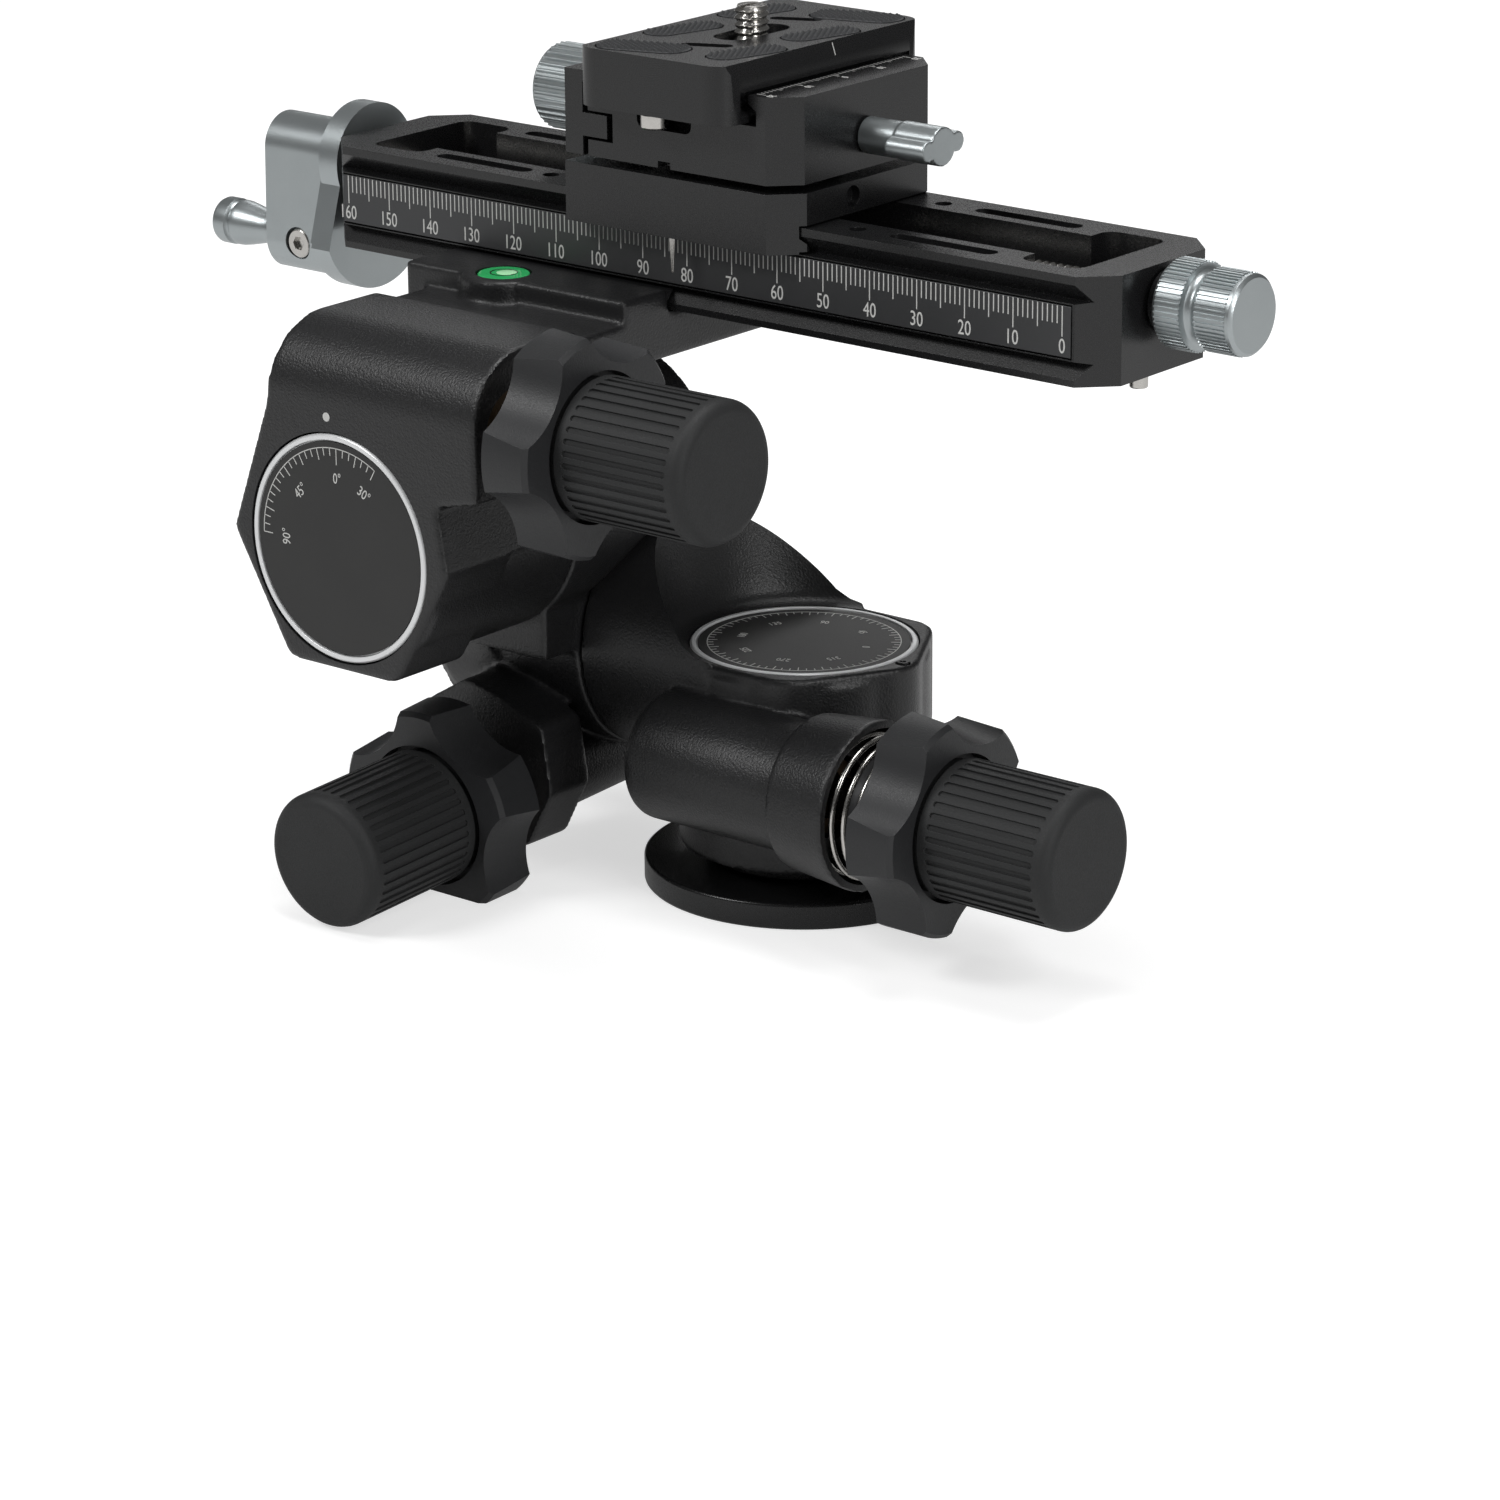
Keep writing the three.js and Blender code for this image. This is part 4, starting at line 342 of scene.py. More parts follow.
def turned(profile, place=None, steps=96):
    closedRing = profile[0] == profile[-1] and profile[0][0] > 0
    stations = profile[:-1] if closedRing else profile
    points, rings = [], []
    for radius, height in stations:
        if radius == 0:
            rings.append([len(points)])
            points.append((0.0, 0.0, height))
        else:
            rings.append(list(range(len(points), len(points) + steps)))
            for i in range(steps):
                angle = fullTurn * i / steps
                points.append((radius * math.cos(angle), radius * math.sin(angle), height))
    pairs = list(zip(rings, rings[1:]))
    if closedRing:
        pairs.append((rings[-1], rings[0]))
    faces = []
    for low, high in pairs:
        for i in range(steps):
            j = (i + 1) % steps
            loop = [low[i % len(low)], low[j % len(low)], high[j % len(high)], high[i % len(high)]]
            loop = [spot for k, spot in enumerate(loop) if spot not in loop[:k]]
            if len(loop) > 2:
                faces.append(loop)
    return bodyOf(points, faces, place)


def rod(radius, low, high, place=None, steps=96):
    return turned([(0, low), (radius, low), (radius, high), (0, high)], place, steps)


def tube(outer, inner, low, high, place=None, steps=96):
    return turned([(inner, low), (outer, low), (outer, high), (inner, high), (inner, low)], place, steps)


def prism(outline, low, high, place=None):
    count = len(outline)
    points = [(x, y, low) for x, y in outline] + [(x, y, high) for x, y in outline]
    faces = [list(range(count)), list(range(count, 2 * count))]
    for i in range(count):
        j = (i + 1) % count
        faces.append([i, j, count + j, count + i])
    return bodyOf(points, faces, place)


def block(x0, x1, y0, y1, z0, z1, place=None):
    return prism([(x0, y0), (x1, y0), (x1, y1), (x0, y1)], z0, z1, place)


def polygon(count, radius, turn=0.0):
    return [
        (radius * math.cos(fullTurn * i / count + turn), radius * math.sin(fullTurn * i / count + turn))
        for i in range(count)
    ]


def roundedOutline(corners, radius, steps=8):
    outline = []
    count = len(corners)
    for i in range(count):
        here = Vector(corners[i])
        toBefore = Vector(corners[i - 1]) - here
        toAfter = Vector(corners[(i + 1) % count]) - here
        half = toBefore.angle(toAfter) / 2
        reach = min(radius / math.tan(half), toBefore.length / 2, toAfter.length / 2)
        start = here + toBefore.normalized() * reach
        end = here + toAfter.normalized() * reach
        for k in range(steps + 1):
            t = k / steps
            spot = start * (1 - t) ** 2 + here * 2 * t * (1 - t) + end * t ** 2
            outline.append((spot.x, spot.y))
    return outline


def slotOutline(halfLength, halfWidth, steps=14):
    reach = halfLength - halfWidth
    outline = []
    for side, start in ((1, -0.25), (-1, 0.25)):
        for k in range(steps + 1):
            angle = fullTurn * (start + 0.5 * k / steps)
            outline.append((side * reach + halfWidth * math.cos(angle), halfWidth * math.sin(angle)))
    return outline


def dropOutline(topRadius, lowRadius, drop, steps=28):      # two circles, one under the other, and their tangents
    lean = math.asin((lowRadius - topRadius) / drop)
    outline = []
    for k in range(steps + 1):
        angle = -lean + (math.pi + 2 * lean) * k / steps
        outline.append((topRadius * math.cos(angle), topRadius * math.sin(angle)))
    for k in range(steps + 1):
        angle = math.pi + lean + (math.pi - 2 * lean) * k / steps
        outline.append((lowRadius * math.cos(angle), lowRadius * math.sin(angle) - drop))
    return outline


def threaded(radius, depth, pitch, low, high, place=None, around=32, along=6):      # straight-flanked helix
    count = max(2, round((high - low) / pitch * along))
    points, faces = [], []
    for row in range(count + 1):
        height = low + (high - low) * row / count
        for i in range(around):
            phase = (height / pitch - i / around) % 1.0
            reach = radius - depth * abs(2 * phase - 1)
            angle = fullTurn * i / around
            points.append((reach * math.cos(angle), reach * math.sin(angle), height))
    for row in range(count):
        for i in range(around):
            j = (i + 1) % around
            faces.append([row * around + i, row * around + j, (row + 1) * around + j, (row + 1) * around + i])
    faces.append(list(range(around)))
    faces.append(list(range(count * around, (count + 1) * around)))
    return bodyOf(points, faces, place)


def plainMesh(thing):
    bpy.context.view_layer.update()
    return bpy.data.meshes.new_from_object(thing.evaluated_get(bpy.context.evaluated_depsgraph_get()))


def settle(thing):
    mesh = plainMesh(thing)
    thing.modifiers.clear()
    thing.data = mesh
    return thing


def combine(body, tools, operation):
    for tool in tools:
        step = body.modifiers.new("step", "BOOLEAN")
        step.operation = operation
        step.solver = "MANIFOLD"
        step.object = tool
    settle(body)
    for tool in tools:
        bpy.data.objects.remove(tool)
    return body


def cut(body, *tools):
    return combine(body, tools, "DIFFERENCE")


def join(body, *others):
    return combine(body, others, "UNION")


def meet(body, other):
    return combine(body, [other], "INTERSECT")


def softenCasting(body, voxel=0.55, passes=6):      # fillets and softened edges of a casting
    skin = body.modifiers.new("skin", "REMESH")
    skin.mode = "VOXEL"
    skin.voxel_size = voxel
    ease = body.modifiers.new("ease", "SMOOTH")
    ease.factor = 0.5
    ease.iterations = passes
    return settle(body)


def gather(things, place=None):
    shape = bmesh.new()
    for thing in things:
        shape.from_mesh(thing.data)
    if place is not None:
        shape.transform(place)
    mesh = bpy.data.meshes.new("gathered")
    shape.to_mesh(mesh)
    shape.free()
    body = bpy.data.objects.new("gathered", mesh)
    scene.collection.objects.link(body)
    for thing in things:
        bpy.data.objects.remove(thing)
    return body


finishing = {"mergeWithin": 0.0004, "flatWithin": 0.3, "bevelOver": 28, "sharpOver": 80}    # millimetres, degrees


def finishPiece(name, body, paint, rides, slot, stands=(), edge=0.25, steps=2, crease=38, dissolve=True):
    shape = bmesh.new()
    shape.from_mesh(body.data)
    bmesh.ops.remove_doubles(shape, verts=shape.verts, dist=finishing["mergeWithin"])
    if dissolve:
        flat = math.radians(finishing["flatWithin"])
        bmesh.ops.dissolve_limit(shape, angle_limit=flat, verts=shape.verts, edges=shape.edges)
    for face in shape.faces:
        face.material_index = 0
    shape.transform(Matrix.Scale(millimetre, 4))
    mesh = bpy.data.meshes.new(name)
    shape.to_mesh(mesh)
    shape.free()
    mesh.materials.clear()
    mesh.materials.append(paints[paint])
    mesh.shade_smooth()
    piece = bpy.data.objects.new(name, mesh)
    scene.collection.objects.link(piece)
    bpy.data.objects.remove(body)
    if edge > 0:
        soft = piece.modifiers.new("round", "BEVEL")
        soft.width = edge * millimetre
        soft.segments = steps
        soft.limit_method = "ANGLE"
        soft.angle_limit = math.radians(finishing["bevelOver"])
        soft.harden_normals = False
    level = piece.modifiers.new("level", "WEIGHTED_NORMAL")
    level.keep_sharp = True
    mesh.set_sharp_from_angle(angle=math.radians(finishing["sharpOver"] if edge else crease))
    settle(piece)
    return place(piece, rides, slot, stands)


def place(piece, rides, slot, stands=()):
    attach(piece, rides)
    if stands:
        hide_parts(*stands)
    return piece


# node trees for what repeats

def newTree(name, inputs):
    tree = bpy.data.node_groups.new(name, "GeometryNodeTree")
    tree.interface.new_socket(name="Geometry", in_out="INPUT", socket_type="NodeSocketGeometry")
    for label, kind, value in inputs:
        socket = tree.interface.new_socket(name=label, in_out="INPUT", socket_type=kind)
        socket.default_value = value
    tree.interface.new_socket(name="Material", in_out="INPUT", socket_type="NodeSocketMaterial")
    tree.interface.new_socket(name="Geometry", in_out="OUTPUT", socket_type="NodeSocketGeometry")
    return tree, tree.nodes.new("NodeGroupInput")


def closeTree(tree, entry, geometry):
    whole = tree.nodes.new("GeometryNodeRealizeInstances")
    coat = tree.nodes.new("GeometryNodeSetMaterial")
    out = tree.nodes.new("NodeGroupOutput")
    tree.links.new(geometry, whole.inputs["Geometry"])
    tree.links.new(whole.outputs["Geometry"], coat.inputs["Geometry"])
    tree.links.new(entry.outputs["Material"], coat.inputs["Material"])
    tree.links.new(coat.outputs["Geometry"], out.inputs["Geometry"])
    return tree


def ringTree():                         # copies of a piece, turned about the local z axis
    tree, entry = newTree("ringOfCopies", [
        ("Count", "NodeSocketInt", 12), ("First Angle", "NodeSocketFloat", 0.0), ("Angle Step", "NodeSocketFloat", 0.5),
    ])
    nodes, links = tree.nodes, tree.links
    line = nodes.new("GeometryNodeMeshLine")
    line.inputs["Offset"].default_value = (0.0, 0.0, 0.0)
    number = nodes.new("GeometryNodeInputIndex")
    angle = nodes.new("ShaderNodeMath")
    angle.operation = "MULTIPLY_ADD"
    turn = nodes.new("ShaderNodeCombineXYZ")
    spin = nodes.new("FunctionNodeEulerToRotation")
    copies = nodes.new("GeometryNodeInstanceOnPoints")
    links.new(entry.outputs["Count"], line.inputs["Count"])
    links.new(number.outputs["Index"], angle.inputs[0])
    links.new(entry.outputs["Angle Step"], angle.inputs[1])
    links.new(entry.outputs["First Angle"], angle.inputs[2])
    links.new(angle.outputs[0], turn.inputs["Z"])
    links.new(turn.outputs["Vector"], spin.inputs["Euler"])
    links.new(line.outputs["Mesh"], copies.inputs["Points"])
    links.new(entry.outputs["Geometry"], copies.inputs["Instance"])
    links.new(spin.outputs["Rotation"], copies.inputs["Rotation"])
    return closeTree(tree, entry, copies.outputs["Instances"])


def rowTree():                          # copies of a piece along a straight line
    tree, entry = newTree("rowOfCopies", [
        ("Count", "NodeSocketInt", 12), ("Step", "NodeSocketVector", (1.0, 0.0, 0.0)),
    ])
    nodes, links = tree.nodes, tree.links
    line = nodes.new("GeometryNodeMeshLine")
    copies = nodes.new("GeometryNodeInstanceOnPoints")
    links.new(entry.outputs["Count"], line.inputs["Count"])
    links.new(entry.outputs["Step"], line.inputs["Offset"])
    links.new(line.outputs["Mesh"], copies.inputs["Points"])
    links.new(entry.outputs["Geometry"], copies.inputs["Instance"])
    return closeTree(tree, entry, copies.outputs["Instances"])


def coilTree():                         # one wire wound about the local z axis
    tree, entry = newTree("woundWire", [
        ("Radius", "NodeSocketFloat", 10.0), ("Height", "NodeSocketFloat", 10.0), ("Curls", "NodeSocketFloat", 5.0),
        ("Wire Radius", "NodeSocketFloat", 0.5), ("Points", "NodeSocketInt", 48), ("Sides", "NodeSocketInt", 12),
    ])
    nodes, links = tree.nodes, tree.links
    path = nodes.new("GeometryNodeCurveSpiral")
    section = nodes.new("GeometryNodeCurvePrimitiveCircle")
    sweep = nodes.new("GeometryNodeCurveToMesh")
    sweep.inputs["Fill Caps"].default_value = True
    links.new(entry.outputs["Points"], path.inputs["Resolution"])
    links.new(entry.outputs["Curls"], path.inputs["Rotations"])
    links.new(entry.outputs["Radius"], path.inputs["Start Radius"])
    links.new(entry.outputs["Radius"], path.inputs["End Radius"])
    links.new(entry.outputs["Height"], path.inputs["Height"])
    links.new(entry.outputs["Sides"], section.inputs["Resolution"])
    links.new(entry.outputs["Wire Radius"], section.inputs["Radius"])
    links.new(path.outputs["Curve"], sweep.inputs["Curve"])
    links.new(section.outputs["Curve"], sweep.inputs["Profile Curve"])
    return closeTree(tree, entry, sweep.outputs["Mesh"])


def studTree():                         # four-sided studs in crossed rows, kept inside a round-ended outline
    tree, entry = newTree("crossedStuds", [
        ("Half Length", "NodeSocketFloat", 8.0), ("Half Width", "NodeSocketFloat", 3.5),
        ("Pitch", "NodeSocketFloat", 0.9), ("Rows", "NodeSocketInt", 30),
        ("Stud Radius", "NodeSocketFloat", 0.5), ("Stud Height", "NodeSocketFloat", 0.4),
        ("Row Angle", "NodeSocketFloat", 0.785),
    ])
    nodes, links = tree.nodes, tree.links

    def maths(operation, first, second):
        node = nodes.new("ShaderNodeMath")
        node.operation = operation
        for socket, value in zip(node.inputs, (first, second)):
            if isinstance(value, (int, float)):
                socket.default_value = value
            elif value is not None:
                links.new(value, socket)
        return node.outputs[0]

    span = maths("MULTIPLY", entry.outputs["Pitch"], entry.outputs["Rows"])
    sheet = nodes.new("GeometryNodeMeshGrid")
    links.new(span, sheet.inputs["Size X"])
    links.new(span, sheet.inputs["Size Y"])
    links.new(entry.outputs["Rows"], sheet.inputs["Vertices X"])
    links.new(entry.outputs["Rows"], sheet.inputs["Vertices Y"])
    turn = nodes.new("ShaderNodeCombineXYZ")
    links.new(entry.outputs["Row Angle"], turn.inputs["Z"])
    lay = nodes.new("GeometryNodeTransform")
    links.new(sheet.outputs["Mesh"], lay.inputs["Geometry"])
    links.new(turn.outputs["Vector"], lay.inputs["Rotation"])
    spot = nodes.new("GeometryNodeInputPosition")
    parts = nodes.new("ShaderNodeSeparateXYZ")
    links.new(spot.outputs["Position"], parts.inputs["Vector"])
    reach = maths("SUBTRACT", entry.outputs["Half Length"], entry.outputs["Half Width"])
    alongEnd = maths("MAXIMUM", maths("SUBTRACT", maths("ABSOLUTE", parts.outputs["X"], None), reach), 0.0)
    across = maths("ABSOLUTE", parts.outputs["Y"], None)
    square = maths("ADD", maths("POWER", alongEnd, 2.0), maths("POWER", across, 2.0))
    outside = maths("GREATER_THAN", maths("SQRT", square, None), entry.outputs["Half Width"])
    trim = nodes.new("GeometryNodeDeleteGeometry")
    links.new(lay.outputs["Geometry"], trim.inputs["Geometry"])
    links.new(outside, trim.inputs["Selection"])
    stud = nodes.new("GeometryNodeMeshCone")
    stud.inputs["Vertices"].default_value = 4
    top = maths("MULTIPLY", entry.outputs["Stud Radius"], 0.35)      # the flat that is left on a stud
    links.new(top, stud.inputs["Radius Top"])
    links.new(entry.outputs["Stud Radius"], stud.inputs["Radius Bottom"])
    links.new(entry.outputs["Stud Height"], stud.inputs["Depth"])
    copies = nodes.new("GeometryNodeInstanceOnPoints")
    links.new(trim.outputs["Geometry"], copies.inputs["Points"])
    links.new(stud.outputs["Mesh"], copies.inputs["Instance"])
    return closeTree(tree, entry, copies.outputs["Instances"])


trees = {"ring": ringTree(), "row": rowTree(), "coil": coilTree(), "studs": studTree()}


def grow(kind, source, paint, **values):
    if source is None:
        source = bpy.data.objects.new("seed", bpy.data.meshes.new("seed"))
        scene.collection.objects.link(source)
    step = source.modifiers.new("grow", "NODES")
    step.node_group = trees[kind]
    wanted = {label.replace(" ", "").lower(): value for label, value in values.items()}
    wanted["material"] = paints[paint]
    for item in trees[kind].interface.items_tree:
        if item.item_type == "SOCKET" and item.in_out == "INPUT":
            key = item.name.replace(" ", "").lower()
            if key in wanted:
                step[item.identifier] = wanted[key]
    return settle(source)


def numeral(words, height, centre, alongX, alongY, squeeze=0.82, thickness=0.02):
    text = bpy.data.curves.new("numeral", "FONT")
    text.body = words
    text.size = height / 0.72           # a figure is 0.72 of its font size tall
    text.resolution_u = 3
    text.extrude = thickness
    thing = bpy.data.objects.new("numeral", text)
    scene.collection.objects.link(thing)
    mesh = plainMesh(thing)
    bpy.data.objects.remove(thing)
    xs = [spot.co.x for spot in mesh.vertices]
    ys = [spot.co.y for spot in mesh.vertices]
    middle = Matrix.Translation((-(min(xs) + max(xs)) / 2, -(min(ys) + max(ys)) / 2, 0))
    mesh.transform(frameAt(centre, alongX, alongY) @ Matrix.Diagonal((squeeze, 1, 1, 1)) @ middle)
    solid = bpy.data.objects.new("numeral", mesh)
    scene.collection.objects.link(solid)
    return solid


print("node trees ready")


# shared measures of the three turning stages

axes = {                                # from the middle of the base disc's underside
    "panTop": 44.45, "tiltHeight": 41.3, "tiltDial": -70.4, "rollX": -48.1, "rollHeight": 68.6, "rollDial": -68.6,
    "armStart": -33.1, "armEnd": -4.0,  # the panning stage's arm, along the rail
}
stage = {
    "hexRadius": 22 / math.cos(math.pi / 6), "hexRound": 3.2, "hexLength": 17.0, "jointRadius": 22.6,
    "cavity": 20.7, "floor": 3.4, "shaftBore": 7.8, "dialCup": 1.9, "grip": 8.0,
}
worm = {"tunnel": 7.4, "bore": 4.3, "rearBearing": 2.8, "end": 35.0}
upper = Matrix.Translation((0, 0, axes["rollHeight"]))      # the rolling stage is drawn from its axis up
alongXLine = frameAt((0, 0, 0), (0, 1, 0), (0, 0, 1))
towardsFront = frameAt((0, 0, 0), (1, 0, 0), (0, 0, 1))
panFace = frameAt((0, 0, axes["panTop"]), (1, 0, 0), (0, 1, 0))
tiltFace = frameAt((axes["tiltDial"], 0, axes["tiltHeight"]), (0, -1, 0), (0, 0, 1))
rollFace = frameAt((axes["rollX"], axes["rollDial"], axes["rollHeight"]), (1, 0, 0), (0, 0, 1))
tiltLine = frameAt((0, 0, axes["tiltHeight"]), (0, 1, 0), (0, 0, 1))
rollLine = moved(towardsFront, axes["rollX"], 0, axes["rollHeight"])
driveLines = {
    "pan": frameAt((0, -24.6, 27.3), (0, 1, 0), (0, 0, 1)),
    "tilt": frameAt((axes["rollX"], 4.6, 16.93), (1, 0, 0), (0, -0.05, 1)),
    "roll": frameAt((-50, -58.2, 93.2), (0, 1, 0), (0, 0, 1)),
}


def stageShell(face, jointDepth, corner):
    front = prism(roundedOutline(polygon(6, stage["hexRadius"]), corner), -stage["hexLength"], 0, face)
    rear = rod(stage["jointRadius"], -jointDepth, -stage["dialCup"], face, 160)
    return join(front, rear)


def stageCutters(face, floorTop):
    cavity = rod(stage["cavity"], floorTop, past, face, 160)
    bore = rod(stage["shaftBore"], floorTop - stage["floor"] - past, floorTop + 1, face)
    return [cavity, bore]


def wormTunnel(line, start):
    step = start + worm["rearBearing"]
    end = worm["end"] + past
    return turned([
        (0, start), (worm["bore"], start), (worm["bore"], step), (worm["tunnel"], step), (worm["tunnel"], end),
        (0, end),
    ], line)


# base and panning stage

baseParts = {
    "radius": 29.0, "thickness": 4.8, "bore": 7.0, "bushRadius": 6.6, "bushTop": 9.0, "threadRadius": 5.1,
    "threadDepth": 0.55, "pitch": 1.6,
}
spindle = {
    "flange": 17.6, "low": 5.1, "flangeTop": 9.7, "neck": 7.5, "shoulder": 41.05, "tip": 6.0, "top": 42.25,
    "socket": (6.9, 4.0, 9.3),          # radius, low end and top of the room round the bush
}


def makeBase():
    b, s = baseParts, spindle
    disc = tube(b["radius"], b["bore"], 0, b["thickness"], steps=192)
    finishPiece("baseDisc", disc, "blackAnodise", "base", "anodised_black", ["base_disc"], edge=0.5, steps=3)
    nut = rod(b["bushRadius"], room, b["bushTop"], steps=64)
    thread = threaded(b["threadRadius"], b["threadDepth"], b["pitch"], -1, b["bushTop"] + 1)
    finishPiece("tripodBush", cut(nut, thread), "polishedSteel", "base", "bright_steel", ["base_thread_bush"], edge=0)
    neck = turned([
        (0, s["low"]), (s["flange"], s["low"]), (s["flange"], s["flangeTop"]), (s["neck"], s["flangeTop"]),
        (s["neck"], s["shoulder"]), (s["tip"], s["shoulder"]), (s["tip"], s["top"]), (0, s["top"]),
    ])
    neck = cut(neck, rod(*s["socket"]))
    finishPiece("panSpindle", neck, "blackAnodise", "base", "anodised_black", ["pan_spindle"], edge=0.3)


indexScrew = {"reach": 22.2, "radius": 1.1, "low": 39.45, "top": 44.75, "socket": 0.55, "socketLow": 43.95}
panHousing = {
    "footHeight": 7.8, "footBore": 18.5, "footRoom": 2.2, "hexRound": 8.5,
    "armClear": (                       # the arm's hollow side: radius about the dial, height over it
        (21.0, 0), (22.2, 0.25), (23.3, 0.9), (24.1, 2.3), (24.7, 5.5), (27.8, 19.5), (28.4, 45),
    ),
    "barrelStart": -12.5, "barrel": 11.7, "nose": 0.5, "round": 1.6, "seam": 21.5, "seamStep": 0.3, "wide": 13.9,
    "mouth": 15.2, "throat": 13.8, "throatDepth": 8.0, "tunnelStart": -11.2, "voxel": 0.5, "ease": 5,
}


def makePanHousing():
    h, screw, top = panHousing, indexScrew, axes["panTop"]
    arm = rod(stage["jointRadius"], axes["armStart"], axes["armEnd"], tiltLine, 160)
    line = driveLines["pan"]
    r, start, end = h["barrel"], h["barrelStart"], worm["end"]
    barrel = turned([
        (0, start), (r - h["round"], start), (r - h["nose"], start + h["nose"]), (r, start + h["round"]),
        (r, h["seam"]), (h["wide"], h["seam"] + h["seamStep"]), (h["mouth"], end), (0, end),
    ], line, 128)
    whole = join(stageShell(panFace, top - h["footHeight"], h["hexRound"]), arm, barrel)
    hollow = [(radius, top + rise) for radius, rise in h["armClear"]]
    clear = turned([(0, top)] + hollow + [(0, hollow[-1][1])], steps=160)
    whole = cut(softenCasting(whole, h["voxel"], h["ease"]), clear)
    floorTop = -(top - h["footHeight"] - h["footRoom"]) + stage["floor"]
    tools = stageCutters(panFace, floorTop) + [
        wormTunnel(line, h["tunnelStart"]), rod(h["throat"], end - h["throatDepth"], end + past, line, 128),
        rod(h["footBore"], h["footHeight"] - past, h["footHeight"] + h["footRoom"], steps=128),
        rod(stage["shaftBore"], axes["armStart"] - past, axes["armStart"] + stage["grip"], tiltLine),
        rod(screw["radius"] + room, screw["low"] - room, top + past, Matrix.Translation((screw["reach"], 0, 0)), 32),
    ]
    whole = cut(whole, *tools)
    finishPiece("panHousing", whole, "castPaint", "pan_stage", "cast_black", ["pan_housing"], edge=0, dissolve=False)


def makeIndexScrew():
    i = indexScrew
    spot = Matrix.Translation((i["reach"], 0, 0))
    socket = prism(polygon(6, i["socket"]), i["socketLow"], i["top"] + past, spot)
    screw = cut(rod(i["radius"], i["low"], i["top"], spot, 32), socket)
    finishPiece("panIndexScrew", screw, "blackAnodise", "pan_stage", "bright_steel", ["pan_index_screw"], edge=0.08)


makeBase()
makePanHousing()
makeIndexScrew()
print("base and panning housing made")


# tilting stage and its elbow

elbow = {
    "boxOutline": [(-9, -11.5), (9, -11.5), (15, 0), (13, 12), (3, 16), (-5, 18), (-15, 12), (-15, 0)],
    "tiltJoint": 36.7, "boxHeight": 16.7, "boxStart": 20.5, "boxEnd": 31.4, "boxRound": 3.0, "tube": 9.6,
    "tubeRound": 1.4, "tubeEnd": -10.2, "tubeReach": 27.1, "tunnelStart": -8.6, "armFront": 31.2, "armBack": 7.0,
    "web": (-64.0, -34.0), "play": 0.6, "voxel": 0.55, "ease": 6,
}


def makeElbow():
    e = elbow
    corners = [(axes["rollX"] + a, e["boxHeight"] + b) for a, b in e["boxOutline"]]
    wormBox = prism(roundedOutline(corners, e["boxRound"]), e["boxStart"], e["boxEnd"], towardsFront)
    r, line = e["tube"], driveLines["tilt"]
    pipe = turned([
        (0, e["tubeEnd"]), (r - e["tubeRound"], e["tubeEnd"]), (r, e["tubeEnd"] + e["tubeRound"]),
        (r, e["tubeReach"]), (0, e["tubeReach"]),
    ], line)
    arm = join(
        rod(stage["jointRadius"], -e["armBack"], e["armFront"], rollLine, 160),
        block(*e["web"], -e["armFront"], e["armBack"], axes["tiltHeight"], axes["rollHeight"]),
    )
    swept = rod(stage["jointRadius"] + e["play"], axes["armStart"] - e["play"], axes["armEnd"], tiltLine, 160)
    shell = stageShell(tiltFace, e["tiltJoint"], stage["hexRound"])
    whole = softenCasting(join(shell, wormBox, pipe, cut(arm, swept)), e["voxel"], e["ease"])
    grip = rod(stage["shaftBore"], e["armFront"] - stage["grip"], e["armFront"] + past, rollLine)
    tools = stageCutters(tiltFace, -e["tiltJoint"] + stage["floor"]) + [wormTunnel(line, e["tunnelStart"]), grip]
    whole = cut(whole, *tools)
    finishPiece("elbowHousing", whole, "castPaint", "elbow", "cast_black", ["elbow_housing"], edge=0, dissolve=False)


makeElbow()
print("elbow made")


# rolling stage: dial block, worm shoulder and clamp deck

rollBlock = {
    "outline": [(-73.2, 0), (-64.5, 23.4), (-62.4, 38.4), (-15.7, 38.4), (-15.7, 13.4), (-25, 11.4), (-23, 0)],
    "back": -42.0, "face": -68.6, "shoulder": (-56.1, 25.9, 12.5), "joint": 36.8, "tunnelStart": -9.5,
    "deck": (-66.4, -15.5, -30.0, 17.2, 28.8, 36.95), "neckLeft": -61.5, "jawTop": 41.1, "jawInner": -17.75,
    "lip": (1.7, 38.7, 40.5, 40.9), "lipInset": 0.6, "skim": 0.02,
    "vial": (-46.4, -26.2), "vialBoss": 7.6, "vialBossLow": 34.4, "bossClear": 9.0, "vialHole": 5.0, "vialDepth": 4.4,
    "screw": (-40.6, 32.8), "screwRadius": 2.6, "screwDepth": 18.0, "pinSpread": 15.0, "pinRadius": 2.0,
    "pinDepth": 9.0, "voxel": 0.55, "ease": 5,
}
indexDot = {"radius": 0.8, "sunk": 0.1, "proud": 0.06, "x": -49.9, "height": 91.9}


